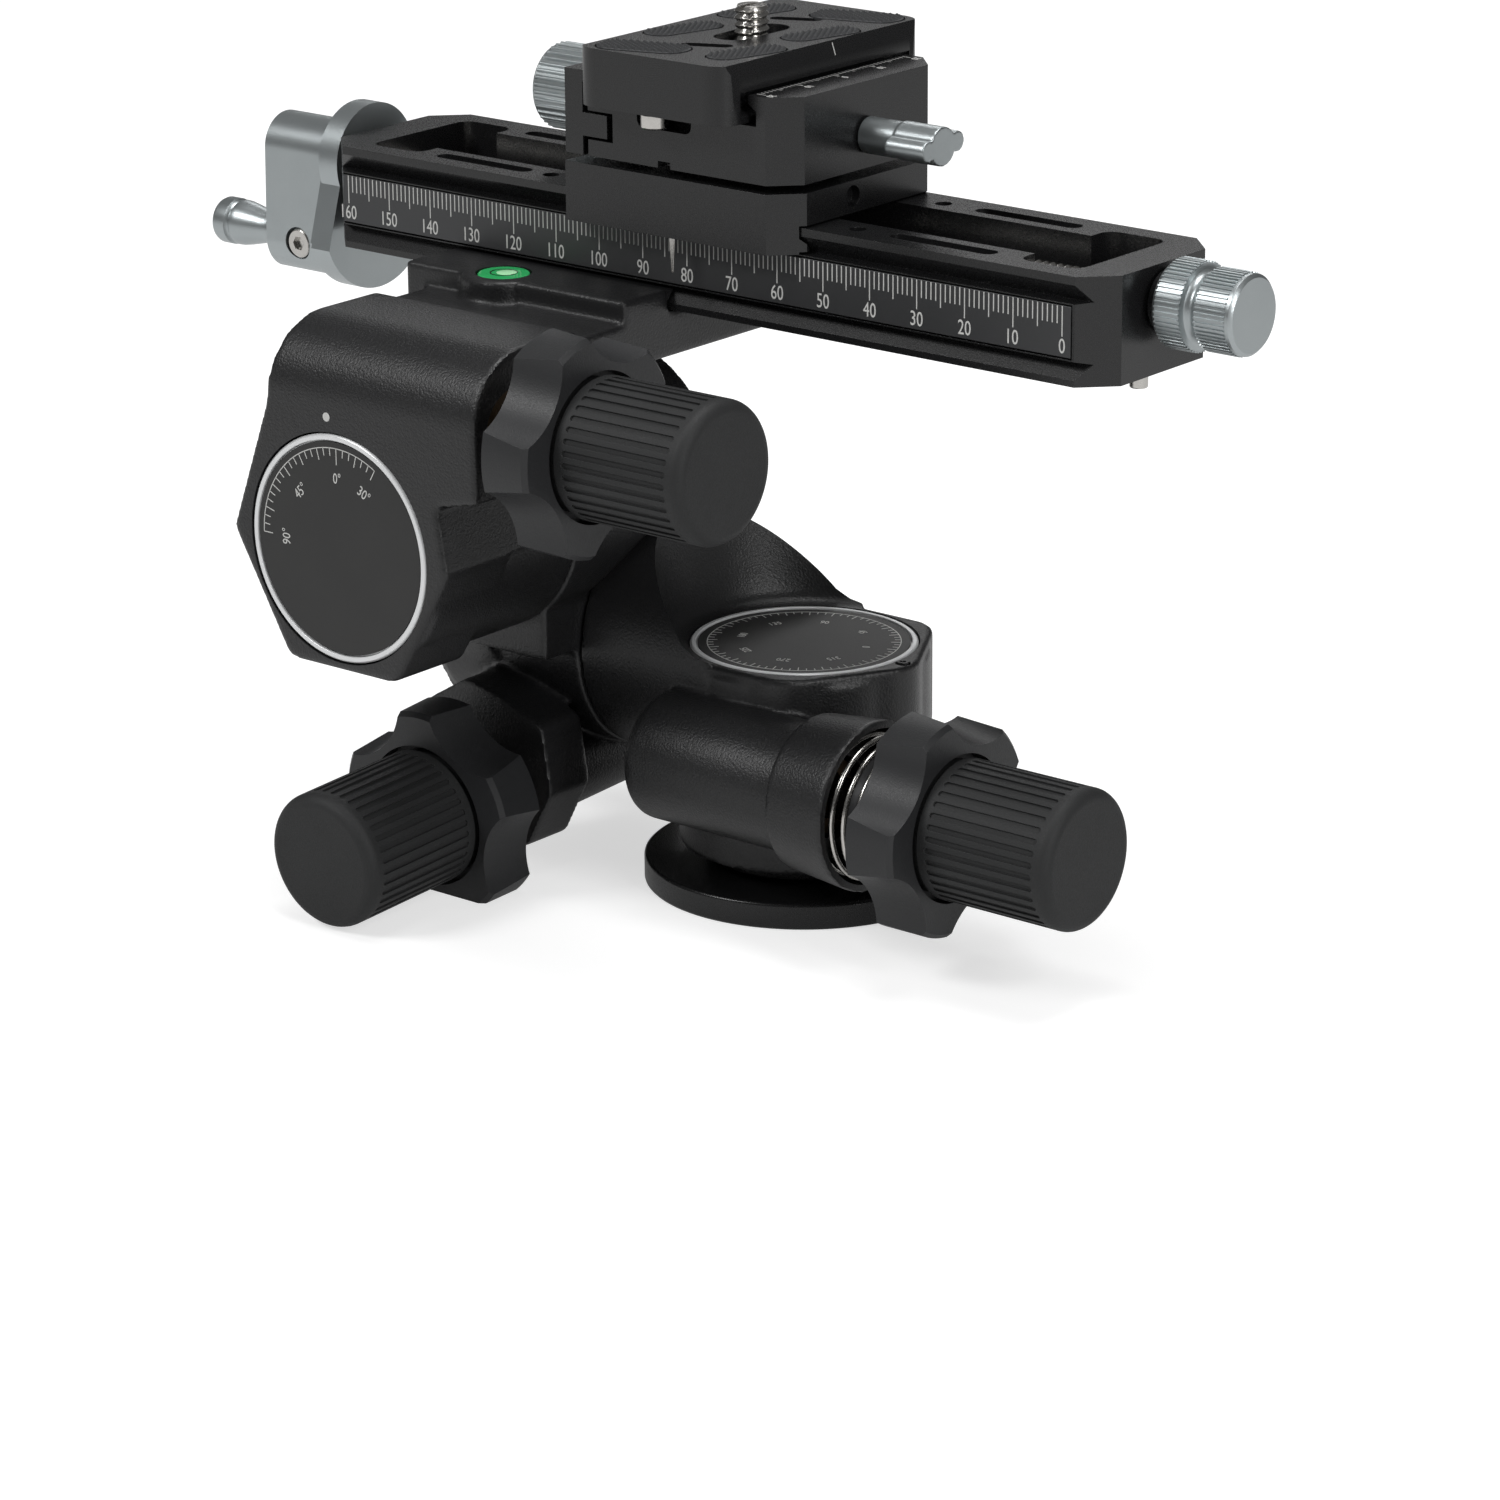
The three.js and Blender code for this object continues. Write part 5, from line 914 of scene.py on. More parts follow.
def makeRollHousing():
    b, e = rollBlock, elbow
    left, right, roof = b["outline"][0][0], b["outline"][4][0], b["outline"][2][1]
    front = prism(b["outline"], -b["back"], -b["face"], towardsFront)
    y, z, r = b["shoulder"]
    limits = join(
        rod(r, left, right, moved(alongXLine, 0, y, z), 160), block(left, right, b["face"], b["back"], 0, z),
        block(left, right, y, b["back"], 0, roof),
    )
    x0, x1, y0, y1, z0, z1 = b["deck"]
    reach, low, tip, high = b["lip"]
    inner = b["jawInner"]
    vx, vy = b["vial"]
    boss = cut(
        rod(b["vialBoss"], b["vialBossLow"], b["jawTop"], Matrix.Translation((vx, vy, 0))),
        block(vx - b["bossClear"], vx + b["bossClear"], inner, inner + b["bossClear"], z1, b["jawTop"] + past),
    )
    deck = join(
        block(x0, x1, y0, y1, z0, z1), block(b["neckLeft"], x1, b["back"] - lap, y0 + lap, z0, z1),
        block(x0, x1, y0, inner, z1 - lap, b["jawTop"]), boss,
    )
    armLine = moved(towardsFront, axes["rollX"], 0, 0)
    swept = rod(stage["jointRadius"] + e["play"], -e["armBack"] - lap, e["armFront"] + e["play"], armLine, 160)
    deck = cut(deck, swept)
    shell = stageShell(upper.inverted() @ rollFace, b["joint"], stage["hexRound"])
    whole = softenCasting(join(shell, meet(front, limits), deck), b["voxel"], b["ease"])
    lip = prism([
        (inner - lap, low), (inner, low), (inner + reach, tip), (inner + reach, high), (inner - lap, high),
    ], x0 + b["lipInset"], x1 - b["lipInset"], alongXLine)
    seat = block(x0 - past, x1 + past, inner, y1 + past, z1 - b["skim"], b["jawTop"] + past)
    whole = join(cut(whole, seat), lip)
    sx, sz = b["screw"]
    tools = stageCutters(upper.inverted() @ rollFace, -b["joint"] + stage["floor"]) + [
        wormTunnel(upper.inverted() @ driveLines["roll"], b["tunnelStart"]),
        rod(b["vialHole"], b["jawTop"] - b["vialDepth"], b["jawTop"] + past, Matrix.Translation((vx, vy, 0)), 64),
        rod(b["screwRadius"] + room, -y1 - past, -y1 + b["screwDepth"], moved(towardsFront, sx, 0, sz), 32),
    ]
    for side in (-1, 1):
        spot = moved(towardsFront, sx + side * b["pinSpread"], 0, sz)
        tools.append(rod(b["pinRadius"] + room, -y1 - past, -y1 + b["pinDepth"] + room, spot, 32))
    whole = cut(whole, *tools)
    whole.data.transform(upper)
    finishPiece("rollHousing", whole, "castPaint", "roll_stage", "cast_black", ["roll_housing"], edge=0, dissolve=False)
    i = indexDot
    spot = moved(towardsFront, i["x"], 0, i["height"])
    dot = rod(i["radius"], -b["face"] - i["sunk"], -b["face"] + i["proud"], spot, 32)
    finishPiece("rollIndexDot", dot, "whiteMark", "roll_stage", "cast_black", edge=0.03)


vial = {
    "radius": 4.7, "low": 36.95, "top": 41.1, "rimIn": 0.3, "rimLow": 0.35, "rimHigh": 0.05,
    "ring": (2.5, 2.25, 0.03), "bubble": 1.9, "bubbleOff": (0.5, 0.3),
    "bubbleShape": ((0, -0.1), (1, -0.1), (0.98, 0.02), (0.7, 0.1), (0, 0.14)),     # share of the radius, rise
}


def makeVial():
    v = vial
    top, radius = v["top"], v["radius"]
    vialSpot = upper @ Matrix.Translation((*rollBlock["vial"], 0))
    body = turned([
        (0, v["low"]), (radius, v["low"]), (radius, top - v["rimLow"]), (radius - v["rimIn"], top - v["rimHigh"]),
        (0, top),
    ], vialSpot, 64)
    finishPiece("levelVial", body, "vialFluid", "roll_stage", "vial_green", ["level_vial"], edge=0, crease=50)
    outer, inner, half = v["ring"]
    ring = tube(outer, inner, top - half, top + half, vialSpot, 64)
    finishPiece("vialRing", ring, "blackAnodise", "roll_stage", "vial_green", edge=0)
    shape = [(v["bubble"] * share, top + rise) for share, rise in v["bubbleShape"]]
    bubble = turned(shape, vialSpot @ Matrix.Translation((*v["bubbleOff"], 0)), 48)
    finishPiece("vialBubble", bubble, "vialBubble", "roll_stage", "vial_green", edge=0, crease=60)


rearJaw = {
    "back": 27.0, "left": -62.0, "right": -19.5, "low": 28.8, "chamfer": 1.5, "play": 0.6,
    "knobStart": 27.6, "knobEnd": 42.0, "knobRadius": 8.2, "core": 7.9,
    "ridges": 40, "ridgeFoot": 0.42, "ridgeCrown": 0.2, "ridgeRoot": 0.7, "ridgeInset": 1.0,
}


def makeRearJaw():
    j, b = rearJaw, rollBlock
    reach, low, tip, high = b["lip"]
    inner = -b["jawInner"]
    y1, z1 = b["deck"][3], b["deck"][5]
    bar = prism([
        (y1 + j["play"], j["low"]), (j["back"], j["low"]), (j["back"], b["jawTop"] - j["chamfer"]),
        (j["back"] - j["chamfer"], b["jawTop"]), (inner, b["jawTop"]), (inner, high), (inner - reach, high),
        (inner - reach, tip), (inner, low), (inner, z1 + room), (y1 + j["play"], z1 + room),
    ], j["left"], j["right"], alongXLine)
    sx, sz = b["screw"]
    spot = moved(towardsFront, sx, 0, sz)
    body = cut(bar, rod(b["screwRadius"] + room, -j["back"] - past, -y1 + past, spot, 32))
    pins = [
        rod(b["pinRadius"], -y1 - lap, -y1 + b["pinDepth"], moved(towardsFront, sx + side * b["pinSpread"], 0, sz), 32)
        for side in (-1, 1)
    ]
    body = join(body, *pins)
    body.data.transform(upper)
    finishPiece("rearJaw", body, "castPaint", "jaw", "cast_black", ["rear_jaw"], edge=0.4, steps=3)
    knob = join(
        rod(b["screwRadius"], -j["knobStart"] - lap, -y1 + b["screwDepth"] - room, spot, 32),
        rod(j["core"], -j["knobEnd"], -j["knobStart"], spot),
    )
    root, crown, foot = j["knobRadius"] - j["ridgeRoot"], j["ridgeCrown"], j["ridgeFoot"]
    ridge = prism([
        (root, -foot), (j["knobRadius"], -crown), (j["knobRadius"], crown), (root, foot),
    ], -j["knobEnd"] + j["ridgeInset"], -j["knobStart"] - j["ridgeInset"])
    ridges = grow("ring", ridge, "blackAnodise", count=j["ridges"], firstangle=0.0, anglestep=fullTurn / j["ridges"])
    ridges.data.transform(spot)
    knob = join(knob, ridges)
    knob.data.transform(upper)
    finishPiece("rearJawKnob", knob, "blackAnodise", "jaw_screw", "anodised_black", ["rear_jaw_knob"], edge=0.12)


makeRollHousing()
makeVial()
makeRearJaw()
print("rolling stage made")


# dials

dials = {
    "ring": 20.4, "rim": 19.3, "cup": -1.9, "cupFloor": -0.9, "plate": 19.0, "plateLow": -0.6, "plateTop": -0.25,
    "chamfer": 0.35, "sunk": 0.02, "proud": 0.03, "lift": 0.01, "line": 0.16, "tickWidth": 0.16,
    "arcCircle": 17.9, "arcTicks": (1.4, 2.1, 2.9), "numberRadius": 12.6, "numberHeight": 1.9,
    "panCircle": 17.3, "panTicks": (1.12, 1.785), "smallRadius": 11.6, "smallHeight": 1.5, "panOffset": 20.0,
}
arcLabels = (("30°", 60), ("0°", 90), ("45°", 135), ("90°", 180))


def arcBand(radius, width, start, end, low, high, steps):
    outline = []
    for edge, order in ((radius + width / 2, range(steps + 1)), (radius - width / 2, range(steps, -1, -1))):
        for k in order:
            angle = math.radians(start + (end - start) * k / steps)
            outline.append((edge * math.cos(angle), edge * math.sin(angle)))
    return prism(outline, low, high)


def tickRing(outer, length, start, step, count):
    d = dials
    half, top = d["tickWidth"] / 2, d["plateTop"]
    tick = block(outer - length, outer, -half, half, top - d["sunk"], top + d["proud"])
    return grow("ring", tick, "whiteMark", count=count, firstangle=math.radians(start), anglestep=math.radians(step))


def degreeMark(words, angle, radius, height):
    turn = math.radians(angle)
    outward = (math.cos(turn), math.sin(turn), 0)
    along = (math.sin(turn), -math.cos(turn), 0)
    centre = (radius * outward[0], radius * outward[1], dials["plateTop"] + dials["lift"])
    return numeral(words, height, centre, along, outward)


def makeDial(prefix, face, rides, marks):
    d = dials
    cup = turned([
        (0, d["cup"]), (d["ring"], d["cup"]), (d["ring"], -d["chamfer"]), (d["ring"] - d["chamfer"], 0),
        (d["rim"], 0), (d["rim"], d["cupFloor"]), (0, d["cupFloor"]),
    ], face, 192)
    finishPiece(f"{prefix}DialRing", cup, "ringAlloy", rides, "silver_alloy", [f"{prefix}_dial_ring"], edge=0.08)
    foil = rod(d["plate"], d["plateLow"], d["plateTop"], face, 192)
    finishPiece(f"{prefix}Dial", foil, "dialFace", rides, "dial_black", [f"{prefix}_dial"], edge=0.05)
    finishPiece(f"{prefix}DialMarks", gather(marks, face), "whiteMark", rides, "dial_black", edge=0, dissolve=False)


def panMarks():
    d = dials
    low, high = d["plateTop"] - d["sunk"], d["plateTop"] + d["proud"]
    circle, (short, long) = d["panCircle"], d["panTicks"]
    marks = [tube(circle + d["line"] / 2, circle - d["line"] / 2, low, high, steps=180)]
    for first in (5, 10):
        marks.append(tickRing(circle, short, d["panOffset"] + first, 15, 24))
    marks.append(tickRing(circle, long, d["panOffset"], 15, 24))
    for i in range(8):
        marks.append(degreeMark(str(45 * i), d["panOffset"] + 45 * i, d["smallRadius"], d["smallHeight"]))
    return marks


def arcMarks(start, end, zero, labels):
    d = dials
    low, high = d["plateTop"] - d["sunk"], d["plateTop"] + d["proud"]
    circle, (short, middle, long) = d["arcCircle"], d["arcTicks"]
    marks = [arcBand(circle, d["line"], start, end, low, high, 96)]
    for first in (5, 10):
        marks.append(tickRing(circle, short, start + first, 15, round((end - start) / 15)))
    for first, last in ((start, zero - 15), (zero + 15, end)):
        marks.append(tickRing(circle, middle, first, 15, round((last - first) / 15) + 1))
    marks.append(tickRing(circle, long, zero, 15, 1))
    for words, angle in labels:
        marks.append(degreeMark(words, angle, d["numberRadius"], d["numberHeight"]))
    return marks


makeDial("pan", panFace, "base", panMarks())
makeDial("tilt", tiltFace, "pan_stage", arcMarks(60, 180, 90, arcLabels))
makeDial("roll", rollFace, "elbow", arcMarks(60, 180, 90, arcLabels))
print("dials made")


# drives: release collars, knobs and springs

drive = {
    "start": 43.8, "end": 53.3, "hubLength": 7.0, "radius": 19.3, "lobes": 5, "scallop": 13.0, "front": 4.6,
    "back": 2.9, "bore": 4.7, "recess": 13.1, "recessDepth": 3.2, "chamfer": 0.8, "knobStart": 50.5,
    "knobEnd": 80.4, "knob": 12.4, "round": 2.2, "neckDrop": 0.7, "neckStep": 0.3, "hollow": 9.7, "hollowEnd": 76.3,
    "slots": 38, "slotStart": 55.2, "slotEnd": 77.4, "slotHalf": 0.52, "slotDepth": 0.4, "wire": 0.5,
}
kinds = {
    "pan": {"phase": 180, "hub": 10.4, "coil": 12.6, "low": 28.4, "high": 42.6, "curls": 5, "body": "pan_stage"},
    "tilt": {"phase": 22, "hub": 7.5, "coil": 9.6, "low": 37.0, "high": 42.9, "curls": 3, "body": "elbow"},
    "roll": {"phase": 180, "hub": 7.5, "coil": 9.6, "low": 37.0, "high": 42.9, "curls": 3, "body": "roll_stage"},
}


def makeCollar(prefix):
    d, kind, line = drive, kinds[prefix], driveLines[prefix]
    r, start, end = d["radius"], d["start"], d["end"]
    body = turned([
        (0, start - d["hubLength"]), (kind["hub"], start - d["hubLength"]), (kind["hub"], start), (r, start),
        (r, end - d["chamfer"]), (r - d["chamfer"], end), (0, end),
    ], steps=192)
    lean = math.atan((d["front"] - d["back"]) / (end - start))
    tools = []
    for i in range(d["lobes"]):
        turn = math.radians(kind["phase"]) + (i + 0.5) * fullTurn / d["lobes"]
        spot = Matrix.Rotation(turn, 4, "Z") @ Matrix.Translation((r + d["scallop"] - d["back"], 0, start))
        tools.append(rod(d["scallop"], -past, end - start + past, spot @ Matrix.Rotation(-lean, 4, "Y"), 160))
    tools.append(rod(d["bore"], start - d["hubLength"] - past, end))
    tools.append(rod(d["recess"], end - d["recessDepth"], end + past, steps=128))
    body = cut(body, *tools)
    body.data.transform(line)
    finishPiece(
        f"{prefix}Collar", body, "collarPlastic", f"{prefix}_release", "collar_black", [f"{prefix}_collar"],
        edge=0.85, steps=4, crease=30,
    )


def makeKnob(prefix):
    d, line = drive, driveLines[prefix]
    r, end, rim = d["knob"], d["knobEnd"], d["round"]
    neck = r - d["neckDrop"]
    profile = [(0, d["knobStart"]), (neck, d["knobStart"]), (neck, d["end"]), (r, d["end"] + d["neckStep"])]
    for k in range(9):
        angle = fullTurn / 4 * k / 8
        profile.append((r - rim + rim * math.cos(angle), end - rim + rim * math.sin(angle)))
    profile.append((0, end))
    body = turned(profile, steps=190)
    middle = (d["slotStart"] + d["slotEnd"]) / 2
    slot = prism(
        slotOutline((d["slotEnd"] - d["slotStart"]) / 2, d["slotHalf"], 8), r - d["slotDepth"], r + past,
        frameAt((0, 0, middle), (0, 0, 1), (0, -1, 0)),
    )
    slots = grow("ring", slot, "knobRubber", count=d["slots"], firstangle=0.0, anglestep=fullTurn / d["slots"])
    hollow = rod(d["hollow"], d["knobStart"] - past, d["hollowEnd"])
    body = cut(body, slots, hollow)
    body.data.transform(line)
    finishPiece(
        f"{prefix}Knob", body, "knobRubber", f"{prefix}_drive", "knob_rubber", [f"{prefix}_knob"],
        edge=0.07, steps=2, crease=30,
    )


def makeSpring(prefix):
    kind, wire = kinds[prefix], drive["wire"]
    coil = grow(
        "coil", None, "polishedSteel", radius=kind["coil"], height=kind["high"] - kind["low"] - 2 * wire,
        curls=float(kind["curls"]), wireradius=wire, points=kind["curls"] * 48, sides=12,
    )
    coil.data.transform(driveLines[prefix] @ Matrix.Translation((0, 0, kind["low"] + wire)))
    finishPiece(
        f"{prefix}Spring", coil, "polishedSteel", kind["body"], "bright_steel", [f"{prefix}_spring"],
        edge=0, crease=60, dissolve=False,
    )


for prefix in kinds:
    makeCollar(prefix)
    makeKnob(prefix)
    makeSpring(prefix)
print("drives made")


# sliding rail with its scale

rail = {
    "left": -98.5, "right": 76.34, "half": 17.4, "low": 105.9, "top": 124.55, "chamfer": 5.54, "groove": 2.3,
    "topLip": 123.1, "topGroove": 120.2, "faceTop": 119.9, "faceLow": 110.2, "lowGroove": 109.7, "lowLip": 107.1,
    "channel": 8.0, "channelFloor": 110.4, "pocket": 13.0, "pocketRound": 3.0, "pocketFloor": 112.2,
    "pockets": ((-90.2, -78.2), (55.8, 68.2)), "slot": (22, 3.2, 1.6), "slotOffset": 12, "slotX": (39.8, -63.2),
    "holeX": (21.6, -47.4), "hole": (1.5, 3.0), "pin": (71.6, 1.6, 3.4, 3.0), "axis": 118.2, "screwHole": 2.7,
}
leadBush = {"start": 68.5, "radius": 4.6, "flange": 5.3, "flangeEnd": 1.9}
strip = {"left": -93.0, "right": 70.0, "thickness": 0.8, "low": 110.7, "high": 119.4, "zero": 68.3}
tickMarks = {
    "width": 0.2, "top": 119.3, "lengths": (3.0, 4.1, 5.1), "sunk": 0.1, "proud": 0.03, "lift": 0.01,
    "numberZ": 112.6, "height": 2.6, "squeeze": 0.78, "numbers": 17,
}
screwLine = moved(alongXLine, 0, 0, rail["axis"])


def makeRail():
    r = rail
    w, c, left, right = r["half"], r["chamfer"], r["left"], r["right"]
    plan = [
        (left + c, -w), (right - c, -w), (right, -w + c), (right, w - c), (right - c, w), (left + c, w),
        (left, w - c), (left, -w + c),
    ]
    tools = []
    for side in (-1, 1):
        for lip, deep, face in (
            (r["topLip"], r["topGroove"], r["faceTop"]), (r["lowLip"], r["lowGroove"], r["faceLow"]),
        ):
            outline = [
                (side * (w + past), lip), (side * w, lip), (side * (w - r["groove"]), deep), (side * w, face),
                (side * (w + past), face),
            ]
            tools.append(prism(outline, left - past, right + past, alongXLine))
        length, width, depth = r["slot"]
        for x in r["slotX"]:
            spot = Matrix.Translation((x, side * r["slotOffset"], 0))
            tools.append(prism(slotOutline(length / 2, width / 2), r["top"] - depth, r["top"] + past, spot))
        for x in r["holeX"]:
            spot = Matrix.Translation((x, side * r["slotOffset"], 0))
            tools.append(rod(r["hole"][0], r["top"] - r["hole"][1], r["top"] + past, spot, 48))
    tools.append(block(
        r["pockets"][0][0], r["pockets"][1][1], -r["channel"], r["channel"], r["channelFloor"], r["top"] + past,
    ))
    body = cut(prism(plan, r["low"], r["top"]), *tools)
    second = []
    for start, stop in r["pockets"]:
        h = r["pocket"]
        outline = roundedOutline([(start, -h), (stop, -h), (stop, h), (start, h)], r["pocketRound"], 10)
        second.append(prism(outline, r["pocketFloor"], r["top"] + past))
    x, radius, length, grip = r["pin"]
    b, t = leadBush, strip
    second += [
        rod(b["radius"] + room, r["pockets"][1][1] - past, right + past, screwLine, 64),
        rod(r["screwHole"], left - past, r["pockets"][0][0] + past, screwLine, 48),
        block(
            t["left"] - room, t["right"] + room, -w - past, -w + t["thickness"] + room, t["low"] - room,
            t["high"] + room,
        ),
        rod(radius + room, r["low"] - past, r["low"] + grip + room, Matrix.Translation((x, 0, 0)), 48),
    ]
    body = cut(body, *second)
    finishPiece("railBody", body, "blackAnodise", "rail", "anodised_black", ["rail_body"], edge=0.28, steps=3)
    foil = block(t["left"], t["right"], -w, -w + t["thickness"], t["low"], t["high"])
    finishPiece("scaleStrip", foil, "stripFace", "rail", "scale_strip", ["scale_strip"], edge=0.08)
    pin = rod(radius, r["low"] - length, r["low"] + grip, Matrix.Translation((x, 0, 0)), 64)
    finishPiece("railStopPin", pin, "polishedSteel", "rail", "bright_steel", ["rail_stop_pin"], edge=0.3, steps=3)
    bore, step, end = r["screwHole"], right + room, right + b["flangeEnd"]
    bush = turned([
        (bore, b["start"]), (b["radius"], b["start"]), (b["radius"], step), (b["flange"], step), (b["flange"], end),
        (bore, end), (bore, b["start"]),
    ], screwLine, 64)
    finishPiece("leadBush", bush, "blackAnodise", "rail", "silver_alloy", ["lead_bush"], edge=0.2)


def makeScaleMarks():
    t, w = tickMarks, rail["half"]
    marks = []
    for length, first, step, count in (
        (t["lengths"][0], 1, 5, 32), (t["lengths"][1], 5, 10, 16), (t["lengths"][2], 0, 10, 17),
    ):
        tick = block(-t["width"] / 2, t["width"] / 2, -w - t["proud"], -w + t["sunk"], t["top"] - length, t["top"])
        tick.data.transform(Matrix.Translation((strip["zero"] - first, 0, 0)))
        if first == 1:
            tick = grow("row", tick, "whiteMark", count=4, step=(-1.0, 0.0, 0.0))
        marks.append(grow("row", tick, "whiteMark", count=count, step=(-float(step), 0.0, 0.0)))
    for i in range(t["numbers"]):
        centre = (strip["zero"] - 10 * i, -w - t["lift"], t["numberZ"])
        marks.append(numeral(str(10 * i), t["height"], centre, (1, 0, 0), (0, 0, 1), t["squeeze"]))
    finishPiece("scaleMarks", gather(marks), "whiteMark", "rail", "scale_strip", edge=0, dissolve=False)


makeRail()
makeScaleMarks()
print("rail made")


# lead screw, fine knob and crank

lead = {"radius": 3.0, "depth": 0.55, "pitch": 1.5, "journal": 2.4, "leftEnd": -112.0, "rightEnd": 86.0, "free": 0.5}
fine = {
    "start": 78.9, "end": 94.3, "radius": 7.7, "second": 7.1, "waistStart": 84.4, "waistEnd": 87.0, "waistDrop": 0.75,
    "chamfer": 0.6, "under": 0.35, "rimUnder": 0.2, "ribs": 54, "ribDepth": 0.32,
}
crank = {
    "inner": -101.2, "outer": -107.2, "top": 10.4, "low": 14.0, "drop": 10.4, "chamfer": 1.4, "armOuter": -123.6,
    "armTop": 6.2, "armLow": 6.6, "armDrop": 17.0, "forkWidth": 6.2, "forkDepth": 11.5, "forkRise": 9.0, "bore": 2.7,
    "pivotX": -115.6, "pivot": 1.4, "head": 2.8, "headDepth": 1.4, "headChamfer": 0.35, "socket": (1.35, 0.9),
    "sink": 0.2,
}
handle = {
    "profile": (                        # place along the rail, radius
        (-140.5, 3.55), (-140.25, 4.15), (-139.7, 4.4), (-137.25, 4.4), (-137.0, 4.05), (-136.6, 3.8),
        (-136.2, 4.05), (-135.9, 4.3), (-134.9, 4.25), (-133.2, 3.95), (-131.0, 3.45), (-129.2, 3.05),
        (-127.8, 2.9), (-126.6, 2.95), (-125.6, 3.25), (-124.9, 3.5), (-124.6, 3.5),
    ),
    "tongue": 2.9, "tongueStart": -126.1,
}


def makeLeadScrew():
    start = rail["pockets"][0][0] + lead["free"]
    end = rail["pockets"][1][1] - lead["free"]
    rope = threaded(lead["radius"], lead["depth"], lead["pitch"], start, end, None, 40, 8)
    journals = rod(lead["journal"], lead["leftEnd"], lead["rightEnd"], steps=64)
    body = join(rope, journals)
    body.data.transform(screwLine)
    finishPiece(
        "leadScrew", body, "polishedSteel", "lead", "bright_steel", ["lead_screw"], edge=0, crease=50, dissolve=False,
    )


def ribbed(radius, depth, count, low, high, paint):
    core = rod(radius - depth, low, high, steps=count * 4)
    root, foot = radius - depth - 0.1, math.pi * radius / count * 0.5       # half of the pitch is rib, half gap
    crown = foot * 0.55
    rib = prism([(root, -foot), (radius, -crown), (radius, crown), (root, foot)], low, high)
    ribs = grow("ring", rib, paint, count=count, firstangle=0.0, anglestep=fullTurn / count)
    return join(core, ribs)


def makeFineKnob():
    f = fine
    c, start, end, waistStart, waistEnd = f["chamfer"], f["start"], f["end"], f["waistStart"], f["waistEnd"]
    wide, slim, rim = f["radius"] - f["under"], f["second"] - f["under"], f["second"] - f["rimUnder"]
    profile = [(0, start), (f["radius"] - c, start), (wide, start + c), (wide, waistStart)]
    for k in range(1, 8):
        share = k / 8
        dip = f["waistDrop"] * math.sin(math.pi * share)
        profile.append((slim - dip, waistStart + (waistEnd - waistStart) * share))
    profile += [
        (slim, waistEnd), (slim, end - c * 2.2), (rim, end - c * 2.2), (rim, end - c), (rim - c, end), (0, end),
    ]
    core = turned(profile, steps=162)
    first = ribbed(f["radius"], f["ribDepth"], f["ribs"], start + c, waistStart, "satinAlloy")
    second = ribbed(f["second"], f["ribDepth"], f["ribs"], waistEnd, end - c * 2.2, "satinAlloy")
    hole = rod(rail["screwHole"], start - past, lead["rightEnd"] + room, steps=48)
    body = cut(join(core, first, second), hole)
    body.data.transform(screwLine)
    finishPiece("fineKnob", body, "satinAlloy", "lead", "silver_alloy", ["fine_knob"], edge=0.06, crease=32)


def makeCrank():
    k = crank
    c, low, cheek = k["chamfer"], -k["armDrop"], k["armLow"]
    crankPlate = join(
        prism(dropOutline(k["top"], k["low"], k["drop"], 48), k["outer"] + c, k["inner"], screwLine),
        prism(dropOutline(k["top"] - c, k["low"] - c, k["drop"], 48), k["outer"], k["inner"] - lap, screwLine),
        prism(dropOutline(k["armTop"], k["armLow"], k["armDrop"], 48), k["armOuter"], k["outer"] + lap, screwLine),
    )
    pivotLine = moved(towardsFront, k["pivotX"], 0, rail["axis"] + low)
    half = k["forkWidth"] / 2
    fork = block(
        -half, half, low - cheek - past, low + k["forkRise"], k["armOuter"] - past, k["armOuter"] + k["forkDepth"],
        screwLine,
    )
    body = cut(
        crankPlate, rod(k["bore"], lead["leftEnd"] - room, rail["left"], screwLine, 48), fork,
        rod(k["pivot"] + room, -cheek - past, cheek + past, pivotLine, 48),
        rod(k["head"] + room, cheek - k["headDepth"] - k["sink"] - room, cheek + past, pivotLine, 64),
    )
    finishPiece("crank", body, "satinAlloy", "lead", "silver_alloy", ["crank"], edge=0.35, steps=3)
    top, bevel = cheek - k["sink"], k["headChamfer"]
    pin = turned([
        (0, -top), (k["pivot"], -top), (k["pivot"], top - k["headDepth"]), (k["head"], top - k["headDepth"]),
        (k["head"], top - bevel), (k["head"] - bevel, top), (0, top),
    ], pivotLine, 64)
    radius, deep = k["socket"]
    pin = cut(pin, prism(polygon(6, radius), top - deep, top + past, pivotLine))
    finishPiece("crankPivot", pin, "polishedSteel", "lead", "bright_steel", ["crank_pivot"], edge=0.06)
    h = handle
    handleLine = moved(screwLine, 0, 0, low)
    outline = [(radius, x) for x, radius in h["profile"]]
    grip = turned([(0, outline[0][1])] + outline + [(0, outline[-1][1])], handleLine, 96)
    half, tongue = k["forkWidth"] / 2 - room, h["tongue"]
    body = join(
        grip, block(-half, half, -tongue, tongue, h["tongueStart"], k["pivotX"], handleLine),
        rod(tongue, -half, half, pivotLine, 64),
    )
    body = cut(body, rod(k["pivot"] + room, -half - past, half + past, pivotLine, 48))
    finishPiece("crankHandle", body, "satinAlloy", "handle", "silver_alloy", ["crank_handle"], edge=0.12)


makeLeadScrew()
makeFineKnob()
makeCrank()
print("lead screw and crank made")


# carriage and plate clamp

